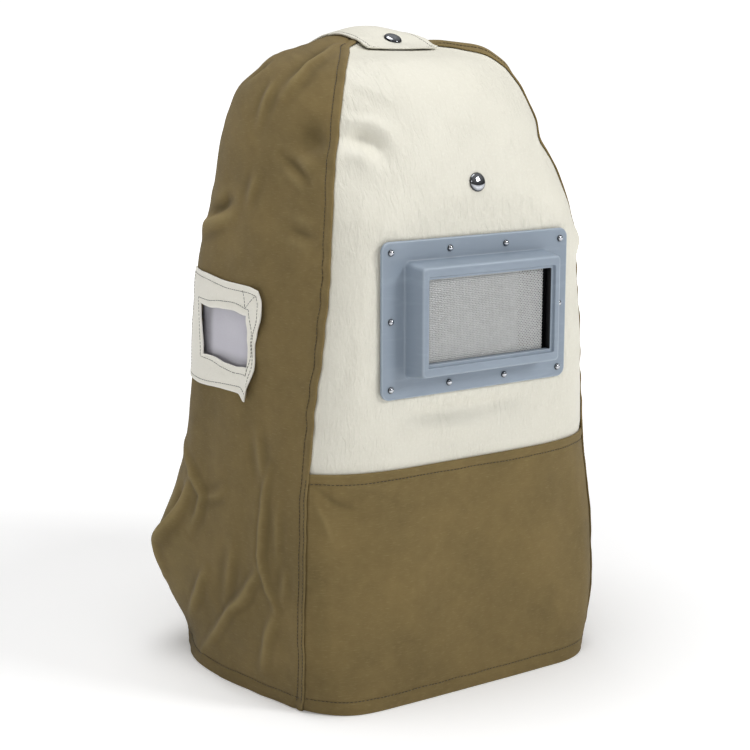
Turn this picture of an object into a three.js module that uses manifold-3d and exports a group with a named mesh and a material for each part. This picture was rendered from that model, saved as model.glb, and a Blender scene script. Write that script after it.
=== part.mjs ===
// A sandblasting hood: a tall canvas cowl with a leather face, a framed window, two side windows
// and a leather strap over the crown. Millimetres, +Z up, the window faces -Y.
// "Right" and "left" are the wearer's: the wearer's right is the -X side.
import * as THREE from "three";
import { mergeVertices } from "three/addons/utils/BufferGeometryUtils.js";
import Module from "manifold-3d";

const wasm = await Module();
wasm.setup();

// Sizes of the whole hood
const HOOD_HEIGHT = 566;
const HALF_WIDTH = 180;
const FRONT_REACH = 121;
const BACK_REACH = 173;

// Cloth, leather and seams
const CANVAS_THICK = 1.2;
const LEATHER_THICK = 1.4;
const CLEAR = 0.3;
const SEAM_LAP = 11;
const HEM_DEPTH = 14;
const SKIRT_TOP = 208;
const SKIRT_LAP = 13;
const STEP_RUN = 10;

// Window frame, glass and mesh
const WINDOW_HEIGHT = 333;
const FLANGE_WIDTH = 193.4;
const FLANGE_TALL = 130;
const FLANGE_THICK = 3;
const FLANGE_CORNER = 8;
const BOX_WIDTH = 148;
const BOX_TALL = 95;
const BOX_DEPTH = 22;
const BOX_DRAFT = 2.4;
const SIGHT_WIDTH = 127;
const SIGHT_TALL = 69.6;
const SIGHT_STEP = 2.6;
const POCKET_SEAT = 3.4;
const POCKET_DEPTH = 6.2;
const LIP_DEPTH = 8.5;
const MESH_THICK = 1;
const GLASS_THICK = 3;
const EDGE_BEVEL = 1.2;
const LEATHER_CUT = 5;

// Rivets
const SMALL_RIVET_HEAD = 5.6;
const SMALL_RIVET_DOME = 1.9;
const SMALL_RIVET_SHANK = 2.8;
const CAP_RIVET_HEAD = 16;
const CAP_RIVET_DOME = 3;
const CAP_RIVET_SHANK = 4.4;
const HOLE_CLEAR = 0.5;
const RIVET_INSET_X = 8.6;
const RIVET_INSET_Z = 8.8;
const RIVET_ROW_SHARE = 0.33;
const TAIL_THICK = 0.8;
const CLENCH_SLACK = 0.3;
const CROWN_SLACK = 0.62;
const FOREHEAD_RIVET_X = 4;
const FOREHEAD_RIVET_Z = 441;
const CROWN_RIVET_Y = 6;

// Crown strap
const STRAP_WIDTH = 74;
const STRAP_THICK = 1.6;
const STRAP_FRONT_Y = -22;
const STRAP_FRONT_SWEEP = 11;
const STRAP_BACK_Y = 96;

// Side windows
const PATCH_THICK = 1.4;
const FILM_THICK = 0.6;
const FILM_MARGIN = 8;
const PATCH_LIFT = 3.6;
const SIDE_SIGHT_GROW = 2;
const SIDE_SIGHT_WIDTH = 76;
const SIDE_SIGHT_TALL = 45;
const SIDE_SIGHT_Y = 29;
const SIDE_SIGHT_Z = 307.5;
const PATCH_WIDTH = 125;
const PATCH_TALL = 101;
const PATCH_AROUND = 135;

// The hood's cross sections from the hem up, as shares of the hood's sizes.
// height: of HOOD_HEIGHT. seamX, wideX: of HALF_WIDTH. seamY, frontY: of FRONT_REACH.
// wideY, backY: of BACK_REACH. power: how square the face is. rise: of HOOD_HEIGHT, at the middle.
const LEVEL_COLUMNS = ["height", "seamX", "seamY", "frontY", "power", "rise", "wideX", "wideY", "backY"];
const LEVELS = [
  [0.0, 0.847, -0.678, -1.0, 8, 0.0, 0.95, 0.405, 0.96],
  [0.044, 0.867, -0.744, -1.0, 7, 0.0, 0.961, 0.405, 0.977],
  [0.113, 0.878, -0.777, -1.0, 6, 0.0, 0.978, 0.41, 0.994],
  [0.186, 0.867, -0.777, -0.992, 5, 0.0, 0.983, 0.41, 1.0],
  [0.265, 0.85, -0.752, -0.983, 4.5, 0.0, 0.967, 0.387, 0.983],
  [0.367, 0.822, -0.727, -0.975, 5, 0.0, 0.933, 0.347, 0.948],
  [0.451, 0.794, -0.736, -0.969, 8, 0.0, 0.906, 0.324, 0.931],
  [0.537, 0.761, -0.76, -0.969, 10, 0.0, 0.889, 0.312, 0.925],
  [0.618, 0.728, -0.764, -0.969, 10, 0.0, 0.872, 0.289, 0.919],
  [0.72, 0.696, -0.74, -0.969, 8, 0.0, 0.815, 0.252, 0.862],
  [0.783, 0.65, -0.669, -0.926, 4, 0.0, 0.783, 0.237, 0.832],
  [0.852, 0.583, -0.57, -0.843, 3, 0.002, 0.744, 0.225, 0.803],
  [0.898, 0.528, -0.492, -0.744, 2.6, 0.004, 0.694, 0.214, 0.769],
  [0.929, 0.478, -0.417, -0.62, 2.4, 0.007, 0.622, 0.208, 0.717],
  [0.952, 0.414, -0.306, -0.455, 2.3, 0.005, 0.517, 0.214, 0.642],
  [0.965, 0.328, -0.132, -0.223, 2.2, 0.002, 0.422, 0.225, 0.578],
  [0.973, 0.264, 0.012, 0.008, 2, 0.0, 0.344, 0.237, 0.52],
  [0.979, 0.2, 0.07, 0.066, 2, 0.0, 0.283, 0.243, 0.48],
  [0.986, 0.144, 0.149, 0.14, 2, 0.001, 0.222, 0.249, 0.439],
  [0.995, 0.067, 0.281, 0.273, 2, 0.001, 0.1, 0.266, 0.358],
  [0.9985, 0.03, 0.332, 0.328, 2, 0.0, 0.045, 0.275, 0.32],
  [1.0, 0.006, 0.397, 0.397, 2, 0.0, 0.008, 0.283, 0.289],
];

// Heights of the rows of the cloth's facets, as shares of HOOD_HEIGHT, between the fixed rows.
const LOWER_ROWS = [0.062, 0.105, 0.148, 0.192, 0.237, 0.282];
const UPPER_ROWS = [
  0.425, 0.467, 0.51, 0.553, 0.596, 0.639, 0.681, 0.72,
  0.758, 0.795, 0.83, 0.863, 0.894, 0.923, 0.947, 0.964,
];
const CROWN_ROWS = [0.974, 0.98, 0.987];
const RING_ROW = 0.995;
const LEATHER_TOP_ROW = 0.987;

// Folds and dents of the cloth. side: 1 is +X, -1 is -X, and 0 is the front, where around is measured
// from the middle. path: pairs of distance around from the front seam and height of the row along the
// cloth, in shares of HOOD_HEIGHT. wide, high: millimetres, outwards where high is positive.
const FOLDS = [
  { side: -1, path: [[0.392, 0.178]], wide: 44, high: 15 },
  { side: -1, path: [[0.345, 0.03]], wide: 24, high: -8 },
  { side: -1, path: [[0.284, 0.312], [0.314, 0.249], [0.367, 0.186], [0.366, 0.126]], wide: 15, high: 5.5 },
  { side: -1, path: [[0.332, 0.282], [0.38, 0.218]], wide: 11, high: -5 },
  { side: -1, path: [[0.352, 0.352], [0.284, 0.32], [0.249, 0.288], [0.263, 0.254]], wide: 10, high: 2.5 },
  { side: -1, path: [[0.233, 0.173], [0.26, 0.133], [0.3, 0.077]], wide: 11, high: 3 },
  { side: -1, path: [[0.102, 0.209], [0.127, 0.169], [0.189, 0.103], [0.256, 0.028]], wide: 11, high: 3.6 },
  { side: -1, path: [[0.15, 0.19], [0.215, 0.117]], wide: 14, high: -2.4 },
  {
    side: -1,
    path: [[0.081, 0.369], [0.09, 0.314], [0.097, 0.23], [0.081, 0.18], [0.064, 0.157]],
    wide: 10,
    high: 2.6,
  },
  { side: -1, path: [[0.064, 0.153], [0.08, 0.102], [0.092, 0.047]], wide: 10, high: 2.6 },
  { side: -1, path: [[0.046, 0.846]], wide: 14, high: -8 },
  { side: -1, path: [[0.06, 0.83], [0.035, 0.798]], wide: 14, high: 4 },
  { side: -1, path: [[0.099, 0.824], [0.065, 0.804], [0.042, 0.788]], wide: 9, high: -2.4 },
  { side: -1, path: [[0.018, 1.063], [0.053, 0.991], [0.076, 0.951], [0.104, 0.913]], wide: 9, high: 3 },
  { side: -1, path: [[0.04, 1.05], [0.062, 1.0], [0.095, 0.955]], wide: 11, high: -4 },
  { side: -1, path: [[0.177, 0.972], [0.226, 0.948]], wide: 10, high: -3.5 },
  { side: -1, path: [[0.339, 0.697], [0.228, 0.727]], wide: 12, high: 4 },
  { side: -1, path: [[0.295, 0.72], [0.23, 0.749]], wide: 11, high: -2.5 },
  { side: -1, path: [[-0.012, 0.856], [-0.045, 0.84]], wide: 9, high: -3.5 },
  {
    side: -1,
    path: [[-0.021, 0.339], [-0.02, 0.246], [-0.026, 0.2], [-0.035, 0.125], [-0.048, 0.046]],
    wide: 13,
    high: 2,
  },
  { side: 1, path: [[0.036, 0.93], [0.034, 1.05]], wide: 17, high: 9 },
  { side: 1, path: [[0.3, 0.18], [0.36, 0.27]], wide: 26, high: 6 },
  { side: 1, path: [[0.17, 0.217], [0.21, 0.054]], wide: 16, high: 4 },
  { side: 1, path: [[0.42, 0.027], [0.44, 0.145]], wide: 20, high: -6 },
  { side: 1, path: [[0.1, 0.325], [0.12, 0.18]], wide: 13, high: -3 },
  { side: 1, path: [[0.14, 0.95], [0.26, 0.84]], wide: 14, high: -4.5 },
  { side: 1, path: [[0.3, 0.723], [0.4, 0.65]], wide: 16, high: 4 },
  { side: 1, path: [[-0.012, 0.836]], wide: 14, high: -5 },
  { side: 1, path: [[-0.012, 0.682]], wide: 12, high: 3.5 },
  { side: 1, path: [[-0.05, 0.06], [-0.04, 0.28]], wide: 16, high: 1.6 },
  { side: 0, path: [[-0.12, 0.442], [-0.048, 0.409]], wide: 12, high: -1.4 },
  { side: 0, path: [[-0.16, 0.926], [-0.1, 0.868]], wide: 15, high: -1.6 },
  { side: 0, path: [[-0.065, 0.733], [0.125, 0.742]], wide: 11, high: -2 },
];

// The side patch's edges, from its bottom to its top and from its front to its back.
// out: how far the edge stands off the straight one, as a share of the patch's width or height.
const PATCH_FRONT_EDGE = [
  [0, 0.105], [0.08, 0.085], [0.28, 0.04], [0.5, 0.088], [0.62, 0.05], [0.78, 0.0], [0.9, 0.02], [1, 0.07],
];
const PATCH_BACK_EDGE = [[0, 0.02], [0.3, 0.0], [0.6, 0.02], [1, 0.0]];
const PATCH_TOP_EDGE = [[0, 0.055], [0.12, 0.035], [0.4, 0.03], [0.7, 0.0], [1, -0.01]];
const PATCH_BOTTOM_EDGE = [[0, 0.0], [0.1, 0.055], [0.35, 0.05], [0.6, 0.035], [1, 0.05]];
// Corners of the side window, as shares of its width and height from its middle, back being +Y.
const SIDE_SIGHT_CORNERS = [[-0.53, -0.5], [0.43, -0.47], [0.58, 0.5], [-0.45, 0.48]];

const FINISHES = {
  canvas: { color: 0x6f6240, roughness: 0.9, metalness: 0 },
  leather: { color: 0xdddccf, roughness: 0.6, metalness: 0 },
  patch_leather: { color: 0xd3d1c6, roughness: 0.65, metalness: 0 },
  frame_plastic: { color: 0x8391a0, roughness: 0.42, metalness: 0 },
  steel: { color: 0xc9ccd0, roughness: 0.2, metalness: 1 },
  wire_mesh: { color: 0xa3a4a2, roughness: 0.5, metalness: 0.7 },
  glass: { color: 0xdfe6e6, roughness: 0.06, metalness: 0 },
  film: { color: 0xb4b2bb, roughness: 0.45, metalness: 0 },
};

// Smooth steps and curves

function smooth(from, to, value) {
  const share = Math.min(1, Math.max(0, (value - from) / (to - from)));
  return share * share * (3 - 2 * share);
}

// A curve through the rows of one column that keeps rising or falling between them.
function curveThrough(places, values) {
  const last = places.length - 1;
  const run = places.slice(1).map((place, k) => place - places[k]);
  const slope = run.map((length, k) => (values[k + 1] - values[k]) / length);
  const tangent = values.map((value, k) => {
    if (k === 0) return slope[0];
    if (k === last) return slope[last - 1];
    if (slope[k - 1] * slope[k] <= 0) return 0;
    const before = 2 * run[k] + run[k - 1];
    const after = run[k] + 2 * run[k - 1];
    return (before + after) / (before / slope[k - 1] + after / slope[k]);
  });
  return (place) => {
    let k = 0;
    while (k < last - 1 && place > places[k + 1]) k += 1;
    const t = (place - places[k]) / run[k];
    const rest = 1 - t;
    return (
      (1 + 2 * t) * rest * rest * values[k] +
      t * rest * rest * run[k] * tangent[k] +
      t * t * (3 - 2 * t) * values[k + 1] -
      t * t * rest * run[k] * tangent[k + 1]
    );
  };
}

// A level's own sizes in millimetres, by how far up the cloth it lies

const SCALE = {
  height: HOOD_HEIGHT,
  seamX: HALF_WIDTH,
  seamY: FRONT_REACH,
  frontY: FRONT_REACH,
  power: 1,
  rise: HOOD_HEIGHT,
  wideX: HALF_WIDTH,
  wideY: BACK_REACH,
  backY: BACK_REACH,
};
const rowSizes = LEVELS.map((row) =>
  Object.fromEntries(LEVEL_COLUMNS.map((name, k) => [name, row[k] * SCALE[name]])),
);
const rowUp = [0];
for (let k = 1; k < rowSizes.length; k += 1) {
  const now = rowSizes[k];
  const before = rowSizes[k - 1];
  const squares =
    (now.height - before.height) ** 2 +
    0.5 * (now.wideX - before.wideX) ** 2 +
    0.5 * (now.seamY - before.seamY) ** 2;
  rowUp.push(rowUp[k - 1] + Math.sqrt(squares));
}
const UP_END = rowUp[rowUp.length - 1];
const sizeCurves = Object.fromEntries(
  LEVEL_COLUMNS.map((name) => [name, curveThrough(rowUp, rowSizes.map((row) => row[name]))]),
);

// How far up the cloth a height is reached
function upAtHeight(height) {
  let low = 0;
  let high = UP_END;
  for (let k = 0; k < 40; k += 1) {
    const middle = (low + high) / 2;
    if (sizeCurves.height(middle) < height) low = middle;
    else high = middle;
  }
  return (low + high) / 2;
}

// One half of a level as a line of points from the front middle past the seam to the back middle

const FRONT_STEPS = 24;
const FLANK_STEPS = 24;
const ROUND_POWER = 2.5;
const levels = new Map();

function levelAt(up) {
  const place = Math.min(UP_END, Math.max(0, up));
  const key = Math.round(place * 1000);
  if (levels.has(key)) return levels.get(key);
  const s = Object.fromEntries(LEVEL_COLUMNS.map((name) => [name, sizeCurves[name](place)]));
  const points = [];
  for (let k = 0; k <= FRONT_STEPS; k += 1) {
    const across = 1 - (1 - k / FRONT_STEPS) ** 1.6;
    const fullness = 1 - across ** s.power;
    points.push([s.seamX * across, s.seamY + (s.frontY - s.seamY) * fullness, s.height + s.rise * fullness]);
  }
  const frontLast = points.length - 1;
  const flank = new THREE.CubicBezierCurve(
    new THREE.Vector2(s.seamX, s.seamY),
    new THREE.Vector2(s.seamX + 0.55 * (s.wideX - s.seamX), s.seamY + 0.33 * (s.wideY - s.seamY)),
    new THREE.Vector2(s.wideX, s.wideY - 0.42 * (s.wideY - s.seamY)),
    new THREE.Vector2(s.wideX, s.wideY),
  );
  for (let k = 1; k <= FLANK_STEPS; k += 1) {
    const at = flank.getPoint(k / FLANK_STEPS);
    points.push([at.x, at.y, s.height]);
  }
  for (let k = 1; k <= FLANK_STEPS; k += 1) {
    const turn = (k / FLANK_STEPS) * (Math.PI / 2);
    const x = s.wideX * Math.max(0, Math.cos(turn)) ** (2 / ROUND_POWER);
    const y = s.wideY + (s.backY - s.wideY) * Math.sin(turn) ** (2 / ROUND_POWER);
    points.push([k === FLANK_STEPS ? 0 : x, y, s.height]);
  }
  const along = [0];
  for (let k = 1; k < points.length; k += 1) {
    const [ax, ay, az] = points[k - 1];
    const [bx, by, bz] = points[k];
    along.push(along[k - 1] + Math.hypot(bx - ax, by - ay, bz - az));
  }
  const level = { points, along, front: along[frontLast], total: along[along.length - 1] };
  levels.set(key, level);
  return level;
}

// The smooth form, without folds. side is 1 or -1, around is measured from the front middle.
function formPoint(side, around, up) {
  if (around < 0) return formPoint(-side, -around, up);
  const level = levelAt(up);
  if (around > level.total) return formPoint(-side, 2 * level.total - around, up);
  let k = 1;
  while (k < level.along.length - 1 && around > level.along[k]) k += 1;
  const t = (around - level.along[k - 1]) / (level.along[k] - level.along[k - 1]);
  const [ax, ay, az] = level.points[k - 1];
  const [bx, by, bz] = level.points[k];
  return new THREE.Vector3(side * (ax + t * (bx - ax)), ay + t * (by - ay), az + t * (bz - az));
}

function formNormal(side, around, up) {
  const reach = 2;
  const across = formPoint(side, around + reach, up).sub(formPoint(side, around - reach, up));
  const above = Math.min(UP_END, up + reach);
  const below = Math.max(0, up - reach);
  const rising = formPoint(side, around, above).sub(formPoint(side, around, below));
  return across.cross(rising).multiplyScalar(side).normalize();
}

// How far a fold moves the cloth at a place: full on the fold's path, less towards its ends
function foldAt(fold, x, y) {
  let best = Infinity;
  let where = 0;
  const path = fold.path.map(([a, b]) => [a * HOOD_HEIGHT, b * HOOD_HEIGHT]);
  const legs = path.length - 1;
  if (legs === 0) {
    best = Math.hypot(x - path[0][0], y - path[0][1]);
    where = 0.5;
  }
  for (let k = 0; k < legs; k += 1) {
    const [ax, ay] = path[k];
    const [bx, by] = path[k + 1];
    const length = (bx - ax) ** 2 + (by - ay) ** 2;
    const t = Math.min(1, Math.max(0, ((x - ax) * (bx - ax) + (y - ay) * (by - ay)) / length));
    const far = Math.hypot(x - ax - t * (bx - ax), y - ay - t * (by - ay));
    if (far < best) {
      best = far;
      where = (k + t) / legs;
    }
  }
  const ends = 0.4 + 0.6 * Math.sin(Math.PI * where);
  return fold.high * ends * Math.exp(-((best / fold.wide) ** 2));
}

const BACK_HOLD = 40;
const STRAP_HOLD = 7;
const STRAP_HOLD_FROM = 0.94;
const STRAP_HOLD_FULL = 0.965;

// Folds die out at the centre-back seam and under the crown strap.
function foldsAt(side, around, up) {
  if (around < 0) return foldsAt(-side, -around, up);
  const level = levelAt(up);
  if (around > level.total) return foldsAt(-side, 2 * level.total - around, up);
  let sum = 0;
  for (const fold of FOLDS) {
    if (fold.side === side) sum += foldAt(fold, around - level.front, up);
    else if (fold.side === 0) sum += foldAt(fold, side * around, up);
  }
  const at = formPoint(side, around, up);
  const half = STRAP_WIDTH / 2;
  const besideStrap = smooth(half + STRAP_HOLD, half + 3 * STRAP_HOLD, Math.abs(at.x));
  const nearTop = smooth(STRAP_HOLD_FROM * HOOD_HEIGHT, STRAP_HOLD_FULL * HOOD_HEIGHT, at.z);
  const underStrap = (1 - besideStrap) * nearTop;
  return sum * smooth(0, BACK_HOLD, level.total - around) * (1 - underStrap);
}

// A point of the cloth, lifted off the form by its folds and by a layer's own offset
function clothPoint(side, around, up, offset) {
  const lift = foldsAt(side, around, up) + offset;
  return formPoint(side, around, up).addScaledVector(formNormal(side, around, up), lift);
}

// Solids

function solidOf(positions, triangles) {
  const bare = new THREE.BufferGeometry();
  bare.setAttribute("position", new THREE.Float32BufferAttribute(positions, 3));
  bare.setIndex(triangles);
  const merged = mergeVertices(bare, 1e-4);
  const kept = [];
  const index = merged.index.array;
  for (let k = 0; k < index.length; k += 3) {
    const [a, b, c] = [index[k], index[k + 1], index[k + 2]];
    if (a !== b && b !== c && c !== a) kept.push(a, b, c);
  }
  const build = (list) =>
    new wasm.Manifold(
      new wasm.Mesh({
        numProp: 3,
        vertProperties: new Float32Array(merged.attributes.position.array),
        triVerts: new Uint32Array(list),
      }),
    );
  const solid = build(kept);
  if (solid.volume() > 0) return solid;
  const turned = [];
  for (let k = 0; k < kept.length; k += 3) turned.push(kept[k], kept[k + 2], kept[k + 1]);
  return build(turned);
}

function solidOfGeometry(geometry) {
  const loose = geometry.index ? geometry.toNonIndexed() : geometry;
  const positions = Array.from(loose.attributes.position.array);
  return solidOf(positions, positions.slice(0, positions.length / 3).map((_, k) => k));
}

function geometryOf(solid) {
  const mesh = solid.getMesh();
  const geometry = new THREE.BufferGeometry();
  const positions = new THREE.Float32BufferAttribute(Array.from(mesh.vertProperties), 3);
  geometry.setAttribute("position", positions);
  geometry.setIndex(Array.from(mesh.triVerts));
  const flat = geometry.toNonIndexed();
  flat.computeVertexNormals();
  return flat;
}

// A sheet with an outer and an inner face over a grid of columns and rows, closed round its edge.
// mirrored(column) turns the diagonal of a column's facets, so that lapped sheets are cut alike.
function sheetSolid(columns, rows, place, mirrored) {
  const positions = [];
  for (let layer = 0; layer < 2; layer += 1)
    for (let row = 0; row < rows; row += 1)
      for (let column = 0; column < columns; column += 1)
        positions.push(...place(column, row, layer).toArray());
  const at = (column, row, layer) => layer * rows * columns + row * columns + column;
  const triangles = [];
  const quad = (a, b, c, d, turned) => {
    if (turned) triangles.push(a, b, d, b, c, d);
    else triangles.push(a, b, c, a, c, d);
  };
  for (let row = 0; row < rows - 1; row += 1)
    for (let column = 0; column < columns - 1; column += 1) {
      const turned = mirrored(column);
      quad(
        at(column, row, 0), at(column + 1, row, 0), at(column + 1, row + 1, 0), at(column, row + 1, 0),
        turned,
      );
      quad(
        at(column, row, 1), at(column, row + 1, 1), at(column + 1, row + 1, 1), at(column + 1, row, 1),
        turned,
      );
    }
  for (let column = 0; column < columns - 1; column += 1) {
    const end = rows - 1;
    quad(at(column, 0, 1), at(column + 1, 0, 1), at(column + 1, 0, 0), at(column, 0, 0), false);
    quad(at(column, end, 0), at(column + 1, end, 0), at(column + 1, end, 1), at(column, end, 1), false);
  }
  for (let row = 0; row < rows - 1; row += 1) {
    const end = columns - 1;
    quad(at(0, row, 0), at(0, row + 1, 0), at(0, row + 1, 1), at(0, row, 1), false);
    quad(at(end, row, 1), at(end, row + 1, 1), at(end, row + 1, 0), at(end, row, 0), false);
  }
  return solidOf(positions, triangles);
}

// A body through rounded rectangles that face -Y. Rows: half width, half height, corner radius, y.
const CORNER_STEPS = 3;
function roundedLoft(sections, middleZ) {
  const positions = [];
  const triangles = [];
  const round = 4 * (CORNER_STEPS + 1);
  for (const [halfWidth, halfTall, corner, y] of sections)
    for (let k = 0; k < 4; k += 1)
      for (let step = 0; step <= CORNER_STEPS; step += 1) {
        const turn = (k + step / CORNER_STEPS) * (Math.PI / 2);
        const signX = k === 0 || k === 3 ? 1 : -1;
        const signZ = k < 2 ? 1 : -1;
        const x = signX * (halfWidth - corner) + corner * Math.cos(turn);
        const z = signZ * (halfTall - corner) + corner * Math.sin(turn);
        positions.push(x, y, middleZ + z);
      }
  for (let k = 0; k < sections.length - 1; k += 1)
    for (let step = 0; step < round; step += 1) {
      const next = (step + 1) % round;
      const [a, b] = [k * round + step, k * round + next];
      triangles.push(a, b, b + round, a, b + round, a + round);
    }
  const last = (sections.length - 1) * round;
  for (let step = 1; step < round - 1; step += 1) {
    triangles.push(0, step + 1, step);
    triangles.push(last, last + step, last + step + 1);
  }
  return solidOf(positions, triangles);
}

// A body turned about an axis from a base point. Rows: distance along the axis, radius.
function turned(profile, sides, base, axis) {
  const points = profile.map(([far, radius]) => new THREE.Vector2(radius, far));
  const geometry = new THREE.LatheGeometry(points, sides);
  const direction = new THREE.Quaternion().setFromUnitVectors(new THREE.Vector3(0, 1, 0), axis);
  geometry.applyQuaternion(direction);
  geometry.translate(base.x, base.y, base.z);
  return solidOfGeometry(geometry);
}

function pin(radius, base, axis, from, to, sides) {
  return turned([[from, 0], [from, radius], [to, radius], [to, 0]], sides, base, axis);
}

// A domed rivet. The base point is on the outer face that it holds, grip is how deep it holds.
function rivet(head, dome, shank, grip, sides, base, axis) {
  const profile = [
    [-grip - CLEAR - TAIL_THICK, 0],
    [-grip - CLEAR - TAIL_THICK, 0.5 * head * 0.8],
    [-grip - CLEAR, 0.5 * head * 0.8],
    [-grip - CLEAR, shank / 2],
    [CLEAR, shank / 2],
    [CLEAR, head / 2],
    [CLEAR + 0.65 * dome, 0.38 * head],
    [CLEAR + dome, 0],
  ];
  return turned(profile, sides, base, axis);
}

// Rows and columns that the cloth pieces share

const heights = [
  0,
  HEM_DEPTH,
  ...LOWER_ROWS.map((share) => share * HOOD_HEIGHT),
  SKIRT_TOP - SKIRT_LAP,
  SKIRT_TOP,
  SKIRT_TOP + STEP_RUN,
  ...UPPER_ROWS.map((share) => share * HOOD_HEIGHT),
  ...CROWN_ROWS.map((share) => share * HOOD_HEIGHT),
  RING_ROW * HOOD_HEIGHT,
];
const rowsUp = heights.map(upAtHeight);
const rowOf = (height) => heights.findIndex((value) => Math.abs(value - height) < 1e-6);
const FLANK_COLUMNS = 18;
const FACE_COLUMNS = 7;

// The hem is turned up inside, so the cloth is double there.
function hemThick(height) {
  return height <= HEM_DEPTH ? CANVAS_THICK : 0;
}

// The cloth's lower edge is cut level with the ground.
function standing(point, row) {
  if (row === 0) point.z = 0;
  return point;
}

// Where a side panel's column lies, from the front middle, at a level
function flankAround(level, column, pastBack) {
  if (column === 0) return level.front;
  const inner = level.total - level.front - 2 * SEAM_LAP;
  if (column <= FLANK_COLUMNS + 1)
    return level.front + SEAM_LAP + (inner * (column - 1)) / FLANK_COLUMNS;
  if (column === FLANK_COLUMNS + 2) return level.total;
  return level.total + pastBack;
}

// The right panel's back edge ends on the centre line. The left one steps in and runs on under it.
function sidePanel(side) {
  const under = side === 1;
  const columns = FLANK_COLUMNS + (under ? 4 : 3);
  const step = CANVAS_THICK + CLEAR;
  const place = (column, row, layer) => {
    const level = levelAt(rowsUp[row]);
    const around = flankAround(level, column, SEAM_LAP);
    const tucked = under && column >= FLANK_COLUMNS + 2 ? step : 0;
    const single = column < 2 || column > FLANK_COLUMNS ? 0 : 1;
    const thick = CANVAS_THICK + single * hemThick(heights[row]);
    return standing(clothPoint(side, around, rowsUp[row], -tucked - layer * thick), row);
  };
  return sheetSolid(columns, heights.length, place, (column) => column >= FLANK_COLUMNS + 2);
}

// Across the face from the right side's lap to the left side's lap
function faceAround(level, column) {
  const half = FACE_COLUMNS + 1;
  const share = Math.abs(column - half);
  const sign = Math.sign(column - half);
  if (share === half) return sign * (level.front + SEAM_LAP);
  return sign * level.front * (1 - (1 - share / FACE_COLUMNS) ** 1.25);
}

function facePanel(fromRow, toRow, offset, thick) {
  const columns = 2 * (FACE_COLUMNS + 1) + 1;
  const place = (column, index, layer) => {
    const row = fromRow + index;
    const around = faceAround(levelAt(rowsUp[row]), column);
    return standing(clothPoint(1, around, rowsUp[row], -offset(row) - layer * thick(row)), row);
  };
  return sheetSolid(columns, toRow - fromRow + 1, place, (column) => column < FACE_COLUMNS + 1);
}

const UNDER_FLANK = CANVAS_THICK + CLEAR;
const UNDER_SKIRT = UNDER_FLANK + CANVAS_THICK + CLEAR;
const leatherOffset = (row) => (heights[row] <= SKIRT_TOP ? UNDER_SKIRT : UNDER_FLANK);
const leatherRows = [rowOf(SKIRT_TOP - SKIRT_LAP), rowOf(LEATHER_TOP_ROW * HOOD_HEIGHT)];
let frontPanel = facePanel(leatherRows[0], leatherRows[1], leatherOffset, () => LEATHER_THICK);
const frontSkirt = facePanel(
  0,
  rowOf(SKIRT_TOP),
  () => UNDER_FLANK,
  (row) => CANVAS_THICK + hemThick(heights[row]),
);

// Window frame, with a groove that holds the mesh and the glass

const outwards = new THREE.Vector3(0, -1, 0);
const faceY = formPoint(1, 0, upAtHeight(WINDOW_HEIGHT)).y + UNDER_FLANK;
const flangeBack = faceY - CLEAR;
const flangeFront = flangeBack - FLANGE_THICK;
const boxFront = flangeFront - BOX_DEPTH;
const lipBack = boxFront + LIP_DEPTH;
const pocketBack = lipBack + POCKET_DEPTH;
const [flangeX, flangeZ] = [FLANGE_WIDTH / 2, FLANGE_TALL / 2];
const [boxX, boxZ] = [BOX_WIDTH / 2, BOX_TALL / 2];
const [sightX, sightZ] = [SIGHT_WIDTH / 2, SIGHT_TALL / 2];
const flange = roundedLoft(
  [
    [flangeX, flangeZ, FLANGE_CORNER, flangeBack],
    [flangeX, flangeZ, FLANGE_CORNER, flangeFront + EDGE_BEVEL],
    [flangeX - EDGE_BEVEL, flangeZ - EDGE_BEVEL, FLANGE_CORNER - EDGE_BEVEL, flangeFront],
  ],
  WINDOW_HEIGHT,
);
const box = roundedLoft(
  [
    [boxX, boxZ, 4, flangeFront + EDGE_BEVEL],
    [boxX, boxZ, 4, flangeFront],
    [boxX - BOX_DRAFT, boxZ - BOX_DRAFT, 4, boxFront + EDGE_BEVEL],
    [boxX - BOX_DRAFT - EDGE_BEVEL, boxZ - BOX_DRAFT - EDGE_BEVEL, 3, boxFront],
  ],
  WINDOW_HEIGHT,
);
const sightHole = roundedLoft(
  [
    [sightX, sightZ, 1.5, flangeBack + 1],
    [sightX, sightZ, 1.5, boxFront - 1],
  ],
  WINDOW_HEIGHT,
);
const sightStep = roundedLoft(
  [
    [sightX + SIGHT_STEP - EDGE_BEVEL, sightZ + SIGHT_STEP - EDGE_BEVEL, 2, boxFront + SIGHT_STEP],
    [sightX + SIGHT_STEP, sightZ + SIGHT_STEP, 2, boxFront - 1],
  ],
  WINDOW_HEIGHT,
);
const pocket = roundedLoft(
  [
    [sightX + POCKET_SEAT, sightZ + POCKET_SEAT, 1.5, lipBack],
    [sightX + POCKET_SEAT, sightZ + POCKET_SEAT, 1.5, pocketBack],
  ],
  WINDOW_HEIGHT,
);
let windowFrame = flange.add(box).subtract(sightHole).subtract(sightStep).subtract(pocket);

function pane(front, thick) {
  const half = [sightX + POCKET_SEAT - CLEAR, sightZ + POCKET_SEAT - CLEAR];
  return roundedLoft([[...half, 1.2, front], [...half, 1.2, front + thick]], WINDOW_HEIGHT);
}
const windowMesh = pane(lipBack + CLEAR, MESH_THICK);
const glassFront = lipBack + CLEAR + MESH_THICK + CLEAR;
const windowGlass = pane(glassFront, GLASS_THICK);

const windowCut = roundedLoft(
  [
    [sightX + LEATHER_CUT, sightZ + LEATHER_CUT, 4, flangeBack - 20],
    [sightX + LEATHER_CUT, sightZ + LEATHER_CUT, 4, flangeBack + 20],
  ],
  WINDOW_HEIGHT,
);
frontPanel = frontPanel.subtract(windowCut);

// Rivets round the flange: four along the top and bottom, one at the middle of each side

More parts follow.
